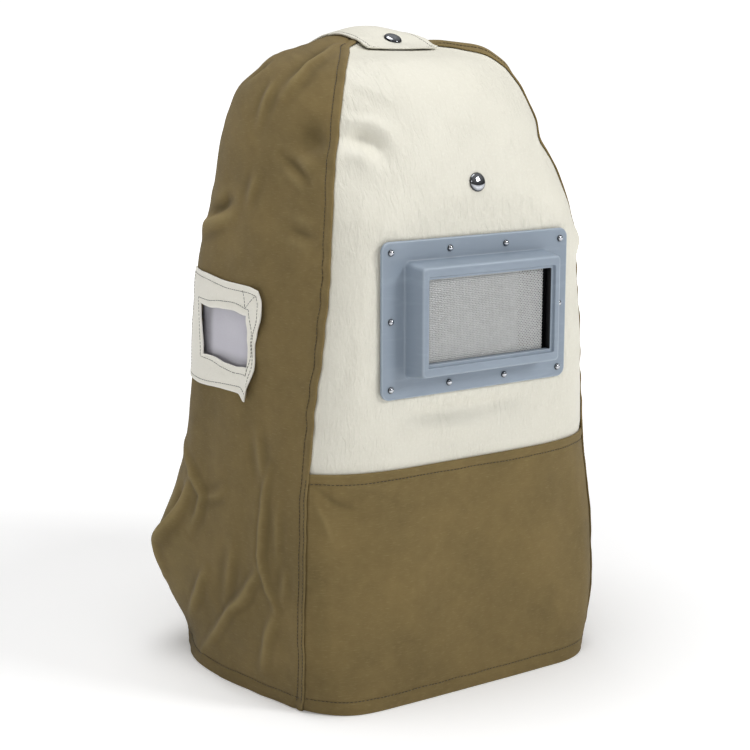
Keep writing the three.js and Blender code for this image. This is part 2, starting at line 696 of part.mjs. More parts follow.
const rivetX = flangeX - RIVET_INSET_X;
const rivetZ = flangeZ - RIVET_INSET_Z;
const inner = RIVET_ROW_SHARE * rivetX;
const RIVET_PLACES = [
  [-rivetX, rivetZ],
  [-inner, rivetZ],
  [inner, rivetZ],
  [rivetX, rivetZ],
  [rivetX, 0],
  [rivetX, -rivetZ],
  [inner, -rivetZ],
  [-inner, -rivetZ],
  [-rivetX, -rivetZ],
  [-rivetX, 0],
];
const HOLE_SIDES = 6;
const SMALL_SIDES = 8;
const CAP_SIDES = 14;
const frameRivets = RIVET_PLACES.map(([x, z]) => {
  const base = new THREE.Vector3(x, flangeFront, WINDOW_HEIGHT + z);
  const leatherForm = formPoint(1, Math.abs(x) + SMALL_RIVET_HEAD / 2, upAtHeight(base.z)).y;
  const leatherBack = leatherForm + UNDER_FLANK + LEATHER_THICK;
  const grip = leatherBack + CLENCH_SLACK - flangeFront;
  const hole = pin(SMALL_RIVET_SHANK / 2 + HOLE_CLEAR, base, outwards, -20, 2, HOLE_SIDES);
  windowFrame = windowFrame.subtract(hole);
  frontPanel = frontPanel.subtract(hole);
  return rivet(
    SMALL_RIVET_HEAD, SMALL_RIVET_DOME, SMALL_RIVET_SHANK, grip, SMALL_SIDES, base, outwards,
  );
});

// Cap rivet on the forehead

const foreheadUp = upAtHeight(FOREHEAD_RIVET_Z);
const foreheadAxis = formNormal(1, FOREHEAD_RIVET_X, foreheadUp);
const foreheadBase = clothPoint(1, FOREHEAD_RIVET_X, foreheadUp, -UNDER_FLANK);
const capHole = CAP_RIVET_SHANK / 2 + HOLE_CLEAR;
frontPanel = frontPanel.subtract(pin(capHole, foreheadBase, foreheadAxis, -12, 12, HOLE_SIDES));
const foreheadRivet = rivet(
  CAP_RIVET_HEAD, CAP_RIVET_DOME, CAP_RIVET_SHANK, LEATHER_THICK + CLENCH_SLACK, CAP_SIDES,
  foreheadBase, foreheadAxis,
);

// The crown as a height over the ground, for the strap that lies on it

function insideLevel(level, x, y) {
  let inside = false;
  const outline = level.points;
  for (let k = 0; k < outline.length - 1; k += 1) {
    const [ax, ay] = outline[k];
    const [bx, by] = outline[k + 1];
    if (ax > x !== bx > x && y < ay + ((x - ax) * (by - ay)) / (bx - ax)) inside = !inside;
  }
  return inside;
}

function crownHeight(x, y) {
  const reach = Math.max(0.01, Math.abs(x));
  let low = upAtHeight(0.85 * HOOD_HEIGHT);
  let high = UP_END;
  for (let k = 0; k < 30; k += 1) {
    const middle = (low + high) / 2;
    if (insideLevel(levelAt(middle), reach, y)) low = middle;
    else high = middle;
  }
  const level = levelAt(low);
  let best = Infinity;
  let height = 0;
  for (const [px, py, pz] of level.points) {
    const far = Math.hypot(px - reach, py - y);
    if (far < best) {
      best = far;
      height = pz;
    }
  }
  return height;
}

function crownPoint(x, y, offset) {
  const reach = 4;
  const slopeX = (crownHeight(x + reach, y) - crownHeight(x - reach, y)) / (2 * reach);
  const slopeY = (crownHeight(x, y + reach) - crownHeight(x, y - reach)) / (2 * reach);
  const normal = new THREE.Vector3(-slopeX, -slopeY, 1).normalize();
  return new THREE.Vector3(x, y, crownHeight(x, y)).addScaledVector(normal, offset);
}

const STRAP_COLUMNS = 11;
const STRAP_ROWS = 12;
const STRAP_OVER_CLOTH = 1.2;

// The strap's front edge bows forward between its corners.
function strapPlace(column, row, layer) {
  const x = STRAP_WIDTH * (column / (STRAP_COLUMNS - 1) - 0.5);
  const front = STRAP_FRONT_Y + STRAP_FRONT_SWEEP * (x / (STRAP_WIDTH / 2)) ** 2;
  const y = front + (STRAP_BACK_Y - front) * (row / (STRAP_ROWS - 1));
  return crownPoint(x, y, STRAP_OVER_CLOTH + (1 - layer) * STRAP_THICK);
}
let crownStrap = sheetSolid(STRAP_COLUMNS, STRAP_ROWS, strapPlace, (column) => column < STRAP_COLUMNS / 2);
const crownBase = crownPoint(0, CROWN_RIVET_Y, STRAP_OVER_CLOTH + STRAP_THICK + CROWN_SLACK);
const crownAxis = crownPoint(0, CROWN_RIVET_Y, 10).sub(crownPoint(0, CROWN_RIVET_Y, 0)).normalize();
crownStrap = crownStrap.subtract(pin(capHole, crownBase, crownAxis, -12, 12, HOLE_SIDES));
const crownRivet = rivet(
  CAP_RIVET_HEAD, CAP_RIVET_DOME, CAP_RIVET_SHANK, STRAP_THICK + 2 * CROWN_SLACK, CAP_SIDES,
  crownBase, crownAxis,
);

// Side windows: a leather patch on each flank, a film behind the cut in the canvas

const edge = (table) => curveThrough(table.map((row) => row[0]), table.map((row) => row[1]));
const patchEdges = {
  front: edge(PATCH_FRONT_EDGE),
  back: edge(PATCH_BACK_EDGE),
  top: edge(PATCH_TOP_EDGE),
  bottom: edge(PATCH_BOTTOM_EDGE),
};
const PATCH_COLUMNS = 10;
const PATCH_ROWS = 9;
const PATCH_MIDDLE_Z = SIDE_SIGHT_Z - 1;

// around and height of a place of the patch, by its shares from the front and from the bottom
function patchPlace(p, q) {
  const from = PATCH_AROUND - PATCH_WIDTH / 2 + PATCH_WIDTH * patchEdges.front(q);
  const to = PATCH_AROUND + PATCH_WIDTH / 2 + PATCH_WIDTH * patchEdges.back(q);
  const low = PATCH_MIDDLE_Z - PATCH_TALL / 2 + PATCH_TALL * patchEdges.bottom(p);
  const high = PATCH_MIDDLE_Z + PATCH_TALL / 2 - PATCH_TALL * patchEdges.top(p);
  return [from + (to - from) * p, low + (high - low) * q];
}

// The front edge of the patch is ruffled and stands off the canvas.
function patchLift(p, q) {
  const wave = 0.5 + 0.5 * Math.cos(2 * Math.PI * (1.9 * q - 0.35));
  return PATCH_LIFT * wave * (1 - smooth(0, 0.2, p));
}

function flankSheet(side, columns, rows, place, outer, thick) {
  const grid = (column, row, layer) => {
    const [p, q] = [column / (columns - 1), row / (rows - 1)];
    const [around, height] = place(p, q);
    const up = upAtHeight(height);
    return clothPoint(side, levelAt(up).front + around, up, outer(p, q) - layer * thick);
  };
  return sheetSolid(columns, rows, grid, () => false);
}

// A straight cut through one flank in the shape of the side window, grown all round
function sideCut(side, grow) {
  const corners = SIDE_SIGHT_CORNERS.map(([across, tall]) => [
    SIDE_SIGHT_Y + SIDE_SIGHT_WIDTH * across + grow * Math.sign(across),
    SIDE_SIGHT_Z + SIDE_SIGHT_TALL * tall + grow * Math.sign(tall),
  ]);
  const outline = new THREE.Shape(corners.map(([y, z]) => new THREE.Vector2(y, z)));
  const geometry = new THREE.ExtrudeGeometry(outline, { depth: HALF_WIDTH, bevelEnabled: false });
  const axes = new THREE.Matrix4().makeBasis(
    new THREE.Vector3(0, 1, 0),
    new THREE.Vector3(0, 0, 1),
    new THREE.Vector3(1, 0, 0),
  );
  geometry.applyMatrix4(axes);
  geometry.translate(side === 1 ? HALF_WIDTH * 0.3 : -HALF_WIDTH * 1.3, 0, 0);
  return solidOfGeometry(geometry);
}

function sidePatch(side) {
  const outer = (p, q) => CLEAR + PATCH_THICK + patchLift(p, q);
  const leather = flankSheet(side, PATCH_COLUMNS, PATCH_ROWS, patchPlace, outer, PATCH_THICK);
  return leather.subtract(sideCut(side, 0));
}

const FILM_OFFSET = CANVAS_THICK + CLEAR + 0.4;
function sideFilm(side) {
  const wide = SIDE_SIGHT_WIDTH + 2 * FILM_MARGIN;
  const tall = SIDE_SIGHT_TALL + 2 * FILM_MARGIN;
  const place = (p, q) => [PATCH_AROUND - 8 + wide * (p - 0.5), SIDE_SIGHT_Z + tall * (q - 0.5)];
  return flankSheet(side, 7, 4, place, () => -FILM_OFFSET, FILM_THICK);
}

const sidePanelRight = sidePanel(-1).subtract(sideCut(-1, SIDE_SIGHT_GROW));
const sidePanelLeft = sidePanel(1).subtract(sideCut(1, SIDE_SIGHT_GROW));

// The hood as named pieces, moved so that the middle of its footprint is the origin

const hood = new THREE.Group();
hood.name = "sandblasting_hood";

function addPiece(name, solid, finish) {
  const mesh = new THREE.Mesh(geometryOf(solid), new THREE.MeshStandardMaterial(FINISHES[finish]));
  mesh.name = name;
  mesh.material.name = finish;
  hood.add(mesh);
}

addPiece("side_panel_right", sidePanelRight, "canvas");
addPiece("side_panel_left", sidePanelLeft, "canvas");
addPiece("front_skirt", frontSkirt, "canvas");
addPiece("front_panel", frontPanel, "leather");
addPiece("crown_strap", crownStrap, "leather");
addPiece("crown_rivet", crownRivet, "steel");
addPiece("forehead_rivet", foreheadRivet, "steel");
addPiece("window_frame", windowFrame, "frame_plastic");
addPiece("window_mesh", windowMesh, "wire_mesh");
addPiece("window_glass", windowGlass, "glass");
frameRivets.forEach((solid, k) => addPiece(`frame_rivet_${k + 1}`, solid, "steel"));
addPiece("side_patch_right", sidePatch(-1), "patch_leather");
addPiece("side_patch_left", sidePatch(1), "patch_leather");
addPiece("side_film_right", sideFilm(-1), "film");
addPiece("side_film_left", sideFilm(1), "film");

const bounds = new THREE.Box3().setFromObject(hood);
const middle = bounds.getCenter(new THREE.Vector3());
for (const mesh of hood.children) mesh.geometry.translate(-middle.x, -middle.y, -bounds.min.z);

export default hood;
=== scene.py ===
import math

import bmesh
import bpy
import numpy as np
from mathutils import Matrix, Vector
from mathutils.bvhtree import BVHTree


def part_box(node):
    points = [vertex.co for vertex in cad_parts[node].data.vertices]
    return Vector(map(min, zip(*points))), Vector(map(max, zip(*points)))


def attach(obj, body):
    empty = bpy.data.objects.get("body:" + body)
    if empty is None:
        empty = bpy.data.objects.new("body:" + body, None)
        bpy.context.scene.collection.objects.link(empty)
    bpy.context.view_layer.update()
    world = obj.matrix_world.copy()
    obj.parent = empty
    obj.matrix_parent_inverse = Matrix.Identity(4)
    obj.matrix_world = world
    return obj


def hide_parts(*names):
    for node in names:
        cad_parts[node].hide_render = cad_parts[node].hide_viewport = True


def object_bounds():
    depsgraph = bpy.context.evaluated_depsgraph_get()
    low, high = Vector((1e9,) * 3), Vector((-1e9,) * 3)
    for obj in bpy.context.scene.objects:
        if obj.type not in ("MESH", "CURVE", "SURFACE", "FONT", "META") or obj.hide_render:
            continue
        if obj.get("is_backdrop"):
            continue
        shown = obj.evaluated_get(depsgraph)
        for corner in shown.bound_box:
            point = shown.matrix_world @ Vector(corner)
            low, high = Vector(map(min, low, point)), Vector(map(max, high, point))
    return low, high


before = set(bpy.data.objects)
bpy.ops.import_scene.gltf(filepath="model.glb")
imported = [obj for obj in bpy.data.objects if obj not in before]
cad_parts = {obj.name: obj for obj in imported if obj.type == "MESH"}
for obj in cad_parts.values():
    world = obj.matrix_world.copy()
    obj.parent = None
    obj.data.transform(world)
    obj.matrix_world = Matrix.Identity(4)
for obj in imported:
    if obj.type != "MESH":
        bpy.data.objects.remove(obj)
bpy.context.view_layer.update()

MM = 0.001

# Sizes of the hood in millimetres, as in the part's source
HOOD_HEIGHT = 566
UNDER_FLANK = 1.5
UNDER_SKIRT = 3.0
SEAM_LAP = 11
HEM_DEPTH = 13
SKIRT_TOP = 208
SKIRT_LAP = 13
WINDOW_HEIGHT = 333
FLANGE_X, FLANGE_Z, FLANGE_CORNER = 96.7, 65, 8
BOX_X, BOX_Z, BOX_DRAFT = 74, 47.5, 2.4
SIGHT_X, SIGHT_Z, SIGHT_STEP = 63.5, 34.8, 2.6
FLANGE_BACK, FLANGE_FRONT, BOX_FRONT = -116.049, -119.049, -141.049
LIP_BACK = BOX_FRONT + 8.5
POCKET_BACK = LIP_BACK + 6.2
POCKET_SEAT = 3.4
STRAP_WIDTH, STRAP_FRONT_Y, STRAP_BACK_Y, STRAP_THICK, STRAP_SWEEP = 74, -22, 96, 1.6, 11
SIGHT_WIDE, SIGHT_TALL, SIGHT_Y, SIGHT_MID_Z = 76, 45, 29, 307.5
PATCH_WIDTH, PATCH_TALL, PATCH_AROUND, PATCH_THICK = 125, 101, 135, 1.4
PATCH_LOW, PATCH_HIGH = SIGHT_MID_Z - 1 - PATCH_TALL / 2, SIGHT_MID_Z - 1 + PATCH_TALL / 2
PATCH_BEGIN, PATCH_END = PATCH_AROUND - PATCH_WIDTH / 2, PATCH_AROUND + PATCH_WIDTH / 2
FOREHEAD_X, FOREHEAD_Z, CROWN_RIVET_Y = 4, 441, 6
LEATHER_TOP, SEAM_END = 558.6, 553
PANEL_TOP = 633.0  # up the cloth, where the side panels end at the crown

# The window frame's middle lies at x 0 in the sizes above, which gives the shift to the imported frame.
_low, _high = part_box("window_frame")
SHIFT = np.array([500 * (_low.x + _high.x), _low.y / MM - BOX_FRONT, 0.0])

# Cross sections from the hem up: height, seamX, seamY, frontY, power, rise, wideX, wideY, backY
LEVELS = np.array([
    [0.0, 0.847, -0.678, -1.0, 8, 0.0, 0.95, 0.405, 0.96],
    [0.044, 0.867, -0.744, -1.0, 7, 0.0, 0.961, 0.405, 0.977],
    [0.113, 0.878, -0.777, -1.0, 6, 0.0, 0.978, 0.41, 0.994],
    [0.186, 0.867, -0.777, -0.992, 5, 0.0, 0.983, 0.41, 1.0],
    [0.265, 0.85, -0.752, -0.983, 4.5, 0.0, 0.967, 0.387, 0.983],
    [0.367, 0.822, -0.727, -0.975, 5, 0.0, 0.933, 0.347, 0.948],
    [0.451, 0.794, -0.736, -0.969, 8, 0.0, 0.906, 0.324, 0.931],
    [0.537, 0.761, -0.76, -0.969, 10, 0.0, 0.889, 0.312, 0.925],
    [0.618, 0.728, -0.764, -0.969, 10, 0.0, 0.872, 0.289, 0.919],
    [0.72, 0.696, -0.74, -0.969, 8, 0.0, 0.815, 0.252, 0.862],
    [0.783, 0.65, -0.669, -0.926, 4, 0.0, 0.783, 0.237, 0.832],
    [0.852, 0.583, -0.57, -0.843, 3, 0.002, 0.744, 0.225, 0.803],
    [0.898, 0.528, -0.492, -0.744, 2.6, 0.004, 0.694, 0.214, 0.769],
    [0.929, 0.478, -0.417, -0.62, 2.4, 0.007, 0.622, 0.208, 0.717],
    [0.952, 0.414, -0.306, -0.455, 2.3, 0.005, 0.517, 0.214, 0.642],
    [0.965, 0.328, -0.132, -0.223, 2.2, 0.002, 0.422, 0.225, 0.578],
    [0.973, 0.264, 0.012, 0.008, 2, 0.0, 0.344, 0.237, 0.52],
    [0.979, 0.2, 0.07, 0.066, 2, 0.0, 0.283, 0.243, 0.48],
    [0.986, 0.144, 0.149, 0.14, 2, 0.001, 0.222, 0.249, 0.439],
    [0.995, 0.067, 0.281, 0.273, 2, 0.001, 0.1, 0.266, 0.358],
    [0.9985, 0.03, 0.332, 0.328, 2, 0.0, 0.045, 0.275, 0.32],
    [1.0, 0.006, 0.397, 0.397, 2, 0.0, 0.008, 0.283, 0.289],
])
LEVEL_SCALE = np.array([566, 180, 121, 121, 1, 566, 180, 173, 173])

# Folds by side (-1 the wearer's right, 1 the left, 0 both, measured from the front middle). Each row: how wide
# and high in millimetres, then the path, as pairs of around (from the front seam) and up the cloth, in shares
# of the height
FOLDS = {
    -1: [
        (44, 15, 0.392, 0.178), (24, -8, 0.345, 0.03),
        (15, 5.5, 0.284, 0.312, 0.314, 0.249, 0.367, 0.186, 0.366, 0.126), (11, -5, 0.332, 0.282, 0.38, 0.218),
        (10, 2.5, 0.352, 0.352, 0.284, 0.32, 0.249, 0.288, 0.263, 0.254),
        (11, 3, 0.233, 0.173, 0.26, 0.133, 0.3, 0.077),
        (11, 3.6, 0.102, 0.209, 0.127, 0.169, 0.189, 0.103, 0.256, 0.028), (14, -2.4, 0.15, 0.19, 0.215, 0.117),
        (10, 2.6, 0.081, 0.369, 0.09, 0.314, 0.097, 0.23, 0.081, 0.18, 0.064, 0.157),
        (10, 2.6, 0.064, 0.153, 0.08, 0.102, 0.092, 0.047), (14, -8, 0.046, 0.846),
        (14, 4, 0.06, 0.83, 0.035, 0.798), (9, -2.4, 0.099, 0.824, 0.065, 0.804, 0.042, 0.788),
        (9, 3, 0.018, 1.063, 0.053, 0.991, 0.076, 0.951, 0.104, 0.913),
        (11, -4, 0.04, 1.05, 0.062, 1.0, 0.095, 0.955), (10, -3.5, 0.177, 0.972, 0.226, 0.948),
        (12, 4, 0.339, 0.697, 0.228, 0.727), (11, -2.5, 0.295, 0.72, 0.23, 0.749),
        (9, -3.5, -0.012, 0.856, -0.045, 0.84),
        (13, 2, -0.021, 0.339, -0.02, 0.246, -0.026, 0.2, -0.035, 0.125, -0.048, 0.046),
    ],
    1: [
        (17, 9, 0.036, 0.93, 0.034, 1.05), (26, 6, 0.3, 0.18, 0.36, 0.27), (16, 4, 0.17, 0.217, 0.21, 0.054),
        (20, -6, 0.42, 0.027, 0.44, 0.145), (13, -3, 0.1, 0.325, 0.12, 0.18),
        (14, -4.5, 0.14, 0.95, 0.26, 0.84), (16, 4, 0.3, 0.723, 0.4, 0.65), (14, -5, -0.012, 0.836),
        (12, 3.5, -0.012, 0.682), (16, 1.6, -0.05, 0.06, -0.04, 0.28),
    ],
    0: [
        (12, -1.4, -0.12, 0.442, -0.048, 0.409), (15, -1.6, -0.16, 0.926, -0.1, 0.868),
        (11, -2, -0.065, 0.733, 0.125, 0.742),
    ],
}

# Creases, with valleys beside them: the same, but with the path in millimetres too
CREASES = {
    -1: [
        (4.2, 1.7, 161, 176.6, 178, 141.1, 208, 105, 207, 71.5),
        (3.4, 1.2, 199, 199.3, 161, 181, 141, 163.3, 149, 143.6, 160, 129.1),
        (3.6, 1.1, 132, 98.1, 147, 75.3, 170, 43.7), (4.5, 0.9, 94, 129.7, 106, 77.2),
        (3.4, 1.4, 58, 118.3, 72, 95.6, 107, 58.2, 145, 15.8),
        (2.8, 1.3, 46, 208.8, 51, 177.8, 55, 130.4, 46, 101.9, 36, 88.6),
        (3.4, 1.0, 36, 86.7, 45, 57.6, 52, 26.6), (3.4, 0.9, 25, 124, 28, 97.5),
        (3.6, 0.8, 34, 177.2, 37, 129.7), (4.4, 0.9, 66, 234.8, 54, 194.3), (3.6, 0.9, 138, 162, 106, 175.3),
        (4.2, 1.4, 10, 601.8, 30, 560.7, 43, 538.5, 59, 517), (3.8, 1.1, 74, 530.3, 80, 516.4, 89, 489.8),
        (4.0, -1.4, 100, 549.9, 128, 536.6), (4.4, 0.9, 87, 448, 102, 422), (5.0, 1.4, 192, 394.2, 129, 411.3),
        (5.0, -1.2, 167, 407.5, 130, 424), (4.6, -1.0, 52, 409.4, 14, 399.9),
        (3.8, -1.2, 56, 466.4, 37, 455, 24, 446.1), (5.0, -1.6, 184, 159, 210, 123),
        (5.0, 1.2, 240, 330, 228, 290, 236, 240), (6.0, 1.6, 262, 200, 250, 150, 262, 96),
        (6.0, -5.6, -2, 486, -17, 486, -30, 479, -40, 466), (7.0, 3.6, -6, 468, -20, 467, -32, 457),
        (5.5, 2.4, -8, 498, -24, 497, -42, 486, -50, 470), (6.0, 1.4, -4, 532, -25, 521, -50, 509),
        (5.0, -1.3, -3, 507, -32, 497), (6.0, -1.2, -8, 395, -30, 412, -40, 430),
        (6.0, -1.2, -14, 268, -24, 300, -20, 340), (4.0, -1.8, -5, 200, -22, 186, -44, 178),
        (4.0, 1.4, -5, 188, -16, 170, -24, 148), (5.0, 0.9, -6, 204, -40, 200, -75, 192),
        (22.0, 1.8, -40, 185, -95, 120, -120, 60), (16.0, -1.8, -20, 150, -60, 90, -80, 40),
    ],
    1: [
        (20.0, 1.6, -130, 180, -95, 110, -65, 50), (15.0, -1.6, -60, 195, -42, 120),
        (6.0, 1.6, -6, 490, -22, 476, -30, 455), (5.0, -1.6, -4, 470, -26, 450), (6.0, 1.6, -12, 400, -6, 370),
        (3.6, 1.2, 60, 215, 48, 160, 66, 90), (4.2, 1.4, 120, 190, 150, 120, 140, 60),
        (4.4, 1.5, 190, 230, 215, 170, 200, 100), (4.2, 1.2, 30, 560, 52, 520, 60, 480),
        (4.2, -1.2, 90, 540, 120, 500), (5.0, 1.2, 170, 420, 230, 400), (4.4, -1.0, 20, 410, 60, 418),
        (5.0, 1.5, 250, 150, 262, 80),
    ],
}


def smooth(low, high, value):
    share = np.clip((value - low) / (high - low), 0, 1)
    return share * share * (3 - 2 * share)


def bell(value, middle, wide):
    return np.exp(-(((value - middle) / wide) ** 2))


def curve_through(places, values, at):
    """The source's curve through the rows of one column, at an array of places."""
    run = np.diff(places)
    slope = np.diff(values) / run
    tangent = np.zeros(len(values))
    tangent[0] = slope[0]
    tangent[-1] = slope[-1]
    for k in range(1, len(values) - 1):
        if slope[k - 1] * slope[k] > 0:
            before = 2 * run[k] + run[k - 1]
            after = run[k] + 2 * run[k - 1]
            tangent[k] = (before + after) / (before / slope[k - 1] + after / slope[k])
    k = np.clip(np.searchsorted(places, at, side="left") - 1, 0, len(run) - 1)
    t = (at - places[k]) / run[k]
    rest = 1 - t
    return (
        (1 + 2 * t) * rest * rest * values[k]
        + t * rest * rest * run[k] * tangent[k]
        + t * t * (3 - 2 * t) * values[k + 1]
        - t * t * rest * run[k] * tangent[k + 1]
    )


# The smooth form: levels a millimetre apart up the cloth, each resampled to even shares of its length
ROWS = LEVELS * LEVEL_SCALE
_step = np.diff(ROWS, axis=0)
ROW_UP = np.concatenate([[0], np.cumsum(np.sqrt(
    _step[:, 0] ** 2 + 0.5 * _step[:, 6] ** 2 + 0.5 * _step[:, 2] ** 2
))])
UP_END = ROW_UP[-1]
LEVEL_COUNT = 651
UPS = np.linspace(0, UP_END, LEVEL_COUNT)
SIZES = np.stack([curve_through(ROW_UP, ROWS[:, k], UPS) for k in range(9)], axis=1)
FRONT_SHARES, FLANK_SHARES, ARC_STEPS = 100, 320, 96


def _resampled(points, count):
    far = np.concatenate([[0], np.cumsum(np.linalg.norm(np.diff(points, axis=0), axis=1))])
    at = np.linspace(0, far[-1], count + 1)
    return np.stack([np.interp(at, far, points[:, k]) for k in range(3)], axis=1), far[-1]


def _levels():
    front, flank, front_length, total = [], [], [], []
    t = np.arange(ARC_STEPS + 1) / ARC_STEPS
    for height, seam_x, seam_y, front_y, power, rise, wide_x, wide_y, back_y in SIZES:
        across = 1 - (1 - t) ** 1.6
        full = 1 - across ** power
        face = np.stack([seam_x * across, seam_y + (front_y - seam_y) * full, height + rise * full], 1)
        a = np.array([seam_x, seam_y])
        b = np.array([seam_x + 0.55 * (wide_x - seam_x), seam_y + 0.33 * (wide_y - seam_y)])
        c = np.array([wide_x, wide_y - 0.42 * (wide_y - seam_y)])
        d = np.array([wide_x, wide_y])
        s = t[:, None]
        side = (1 - s) ** 3 * a + 3 * (1 - s) ** 2 * s * b + 3 * (1 - s) * s * s * c + s ** 3 * d
        turn = t[1:] * math.pi / 2
        back = np.stack([
            wide_x * np.maximum(0, np.cos(turn)) ** 0.8,
            wide_y + (back_y - wide_y) * np.sin(turn) ** 0.8,
        ], 1)
        back[-1, 0] = 0
        plan = np.concatenate([side, back])
        wall = np.column_stack([plan, np.full(len(plan), height)])
        even_face, face_length = _resampled(face, FRONT_SHARES)
        even_wall, wall_length = _resampled(wall, FLANK_SHARES)
        front.append(even_face)
        flank.append(even_wall)
        front_length.append(face_length)
        total.append(face_length + wall_length)
    return np.array(front), np.array(flank), np.array(front_length), np.array(total)


FACE, FLANK, FRONT_LENGTH, TOTAL_LENGTH = _levels()


def front_at(up):
    return np.interp(up, UPS, FRONT_LENGTH)


def total_at(up):
    return np.interp(up, UPS, TOTAL_LENGTH)


def up_at(height):
    return np.interp(height, SIZES[:, 0], UPS)


def _sample(grid, up, share):
    j = np.clip(up / UP_END, 0, 1) * (LEVEL_COUNT - 1)
    j0 = np.clip(np.floor(j).astype(int), 0, LEVEL_COUNT - 2)
    tj = (j - j0)[..., None]
    count = grid.shape[1] - 1
    i = np.clip(share, 0, 1) * count
    i0 = np.clip(np.floor(i).astype(int), 0, count - 1)
    ti = (i - i0)[..., None]
    low = grid[j0, i0] * (1 - ti) + grid[j0, i0 + 1] * ti
    high = grid[j0 + 1, i0] * (1 - ti) + grid[j0 + 1, i0 + 1] * ti
    return low * (1 - tj) + high * tj


def place(side, around, up):
    """Which half a place is on, and its distance from the front middle, past the middles too."""
    half = np.where(around < 0, -side, side)
    far = np.abs(around)
    total = total_at(up)
    past = far > total
    return np.where(past, -half, half), np.where(past, 2 * total - far, far), total


def form(side, around, up):
    up = np.clip(up, 0, UP_END)
    half, far, total = place(side, around, up)
    front = front_at(up)
    on_face = (far <= front)[..., None]
    face = _sample(FACE, up, far / front)
    flank = _sample(FLANK, up, (far - front) / (total - front))
    points = np.where(on_face, face, flank)
    points[..., 0] *= half
    return points


def form_normal(side, around, up):
    reach = 2.0
    across = form(side, around + reach, up) - form(side, around - reach, up)
    rising = form(side, around, np.minimum(UP_END, up + reach)) - form(side, around, np.maximum(0, up - reach))
    normal = np.cross(across, rising) * side
    return normal / np.linalg.norm(normal, axis=-1, keepdims=True)


def path_reach(path, x, y):
    """Distance to a path, and how far along it, from 0 to 1."""
    path = np.array(path, float).reshape(-1, 2)
    if len(path) == 1:
        return np.hypot(x - path[0, 0], y - path[0, 1]), np.full(x.shape, 0.5)
    best = np.full(x.shape, 1e9)
    where = np.zeros(x.shape)
    legs = len(path) - 1
    for k in range(legs):
        leg = path[k + 1] - path[k]
        t = np.clip(((x - path[k, 0]) * leg[0] + (y - path[k, 1]) * leg[1]) / (leg @ leg), 0, 1)
        far = np.hypot(x - path[k, 0] - t * leg[0], y - path[k, 1] - t * leg[1])
        nearer = far < best
        best = np.where(nearer, far, best)
        where = np.where(nearer, (k + t) / legs, where)
    return best, where


def lattice_noise(x, y, size, seed):
    """Smooth noise from -1 to 1 with lumps of that size in millimetres."""
    table = np.random.default_rng(seed).uniform(-1, 1, (128, 128))
    x, y = x / size + 40, y / size + 40
    i, j = np.floor(x).astype(int), np.floor(y).astype(int)
    tx, ty = x - i, y - j
    tx, ty = tx * tx * (3 - 2 * tx), ty * ty * (3 - 2 * ty)
    i0, i1, j0, j1 = i % 128, (i + 1) % 128, j % 128, (j + 1) % 128
    low = table[i0, j0] * (1 - tx) + table[i1, j0] * tx
    high = table[i0, j1] * (1 - tx) + table[i1, j1] * tx
    return low * (1 - ty) + high * ty


def wobble(x, size, seed):
    """The same noise along one coordinate."""
    return lattice_noise(x, x * 0, size, seed)


# Unevenness of the cloth: how high on the front, how much more on the flanks, upward stretch, size, seed
UNEVENNESS = [(0.4, 0.9, 1, 46, 11), (0.14, 0.4, 1, 17, 12), (0, 1.2, 0.35, 38, 13)]
VALLEY_SHARE = 0.4


def folds(side, around, up):
    """How far the folds, creases and puckers lift the cloth, and how much painted highlight and shade they get."""
    half, far, total = place(side, around, up)
    x = far - front_at(up)
    signed = half * far
    lift = np.zeros(x.shape)
    for owner, rows in FOLDS.items():
        mask = 1.0 if owner == 0 else (half == owner)
        for wide, high, *path in rows:
            reach, where = path_reach(np.array(path) * HOOD_HEIGHT, signed if owner == 0 else x, up)
            lift += mask * high * (0.4 + 0.6 * np.sin(math.pi * where)) * bell(reach, 0, wide)
    # Painted highlight and shade: the cloth is coloured lighter where folds lift it and darker where they sink it,
    # and only narrow creases get painted light lines between painted dark valleys
    painted_fold_shading = 0.16 * np.clip(lift, -4.5, 4.5) * smooth(-10, 20, x)
    wander = 1.6 * lattice_noise(x, up, 17, 3)
    past_seam = smooth(0, 30, x)
    for owner, rows in CREASES.items():
        for wide, high, *path in rows:
            reach, where = path_reach(path, x + wander, up + wander)
            ends = np.sin(math.pi * np.clip(where, 0.06, 0.94)) ** 0.7
            shape = (half == owner) * ends * (1 + (0.9 if owner == -1 else 0.2) * past_seam)
            wide = wide * (1 + 0.08 * past_seam)
            beside = VALLEY_SHARE * (bell(reach, 2.1 * wide, wide) * past_seam)
            lift += shape * high * (bell(reach, 0, wide) - beside)
            # Painted highlight along narrow creases and painted shade in the valleys beside them
            painted_fold_shading += smooth(12, 8, wide) * shape * high * (0.55 * bell(reach, 0, 0.6 * wide) - beside)
    flank = smooth(-20, 25, x)
    for least, more, stretch, size, seed in UNEVENNESS:
        lift += (least + more * flank) * lattice_noise(signed, stretch * up, size, seed)
    # Puckers on both sides of the front seam, above the skirt
    phase = up / 13.5 + 1.2 * wobble(up, 40, 22)
    strength = smooth(150, 260, up) * (0.35 + 0.65 * np.abs(wobble(up, 60, 5)))
    pucker = np.where(x > 0, bell(x, 8, 13), bell(x, 8, 8))
    lift += 0.85 * strength * pucker * np.sin(phase * math.pi)
    # The back seam and the crown strap hold the cloth flat, and the hem lies in shallow waves
    at_top = form(side, around, up)
    under_strap = (1 - smooth(44, 58, np.abs(at_top[..., 0]))) * smooth(0.94, 0.965, at_top[..., 2] / HOOD_HEIGHT)
    hold = smooth(0, 40, total - far) * (1 - under_strap)
    lift = lift * hold
    lift += 1.2 * np.exp(-up / 26) * wobble(signed, 38, 31)
    return lift, painted_fold_shading * hold


def cloth(side, around, up, offset):
    lift, painted_fold_shading = folds(side, around, up)
    points = form(side, around, up) + form_normal(side, around, up) * (lift + offset)[..., None]
    points[..., 2] = np.maximum(points[..., 2], 0.05)
    return points, painted_fold_shading


# Meshes

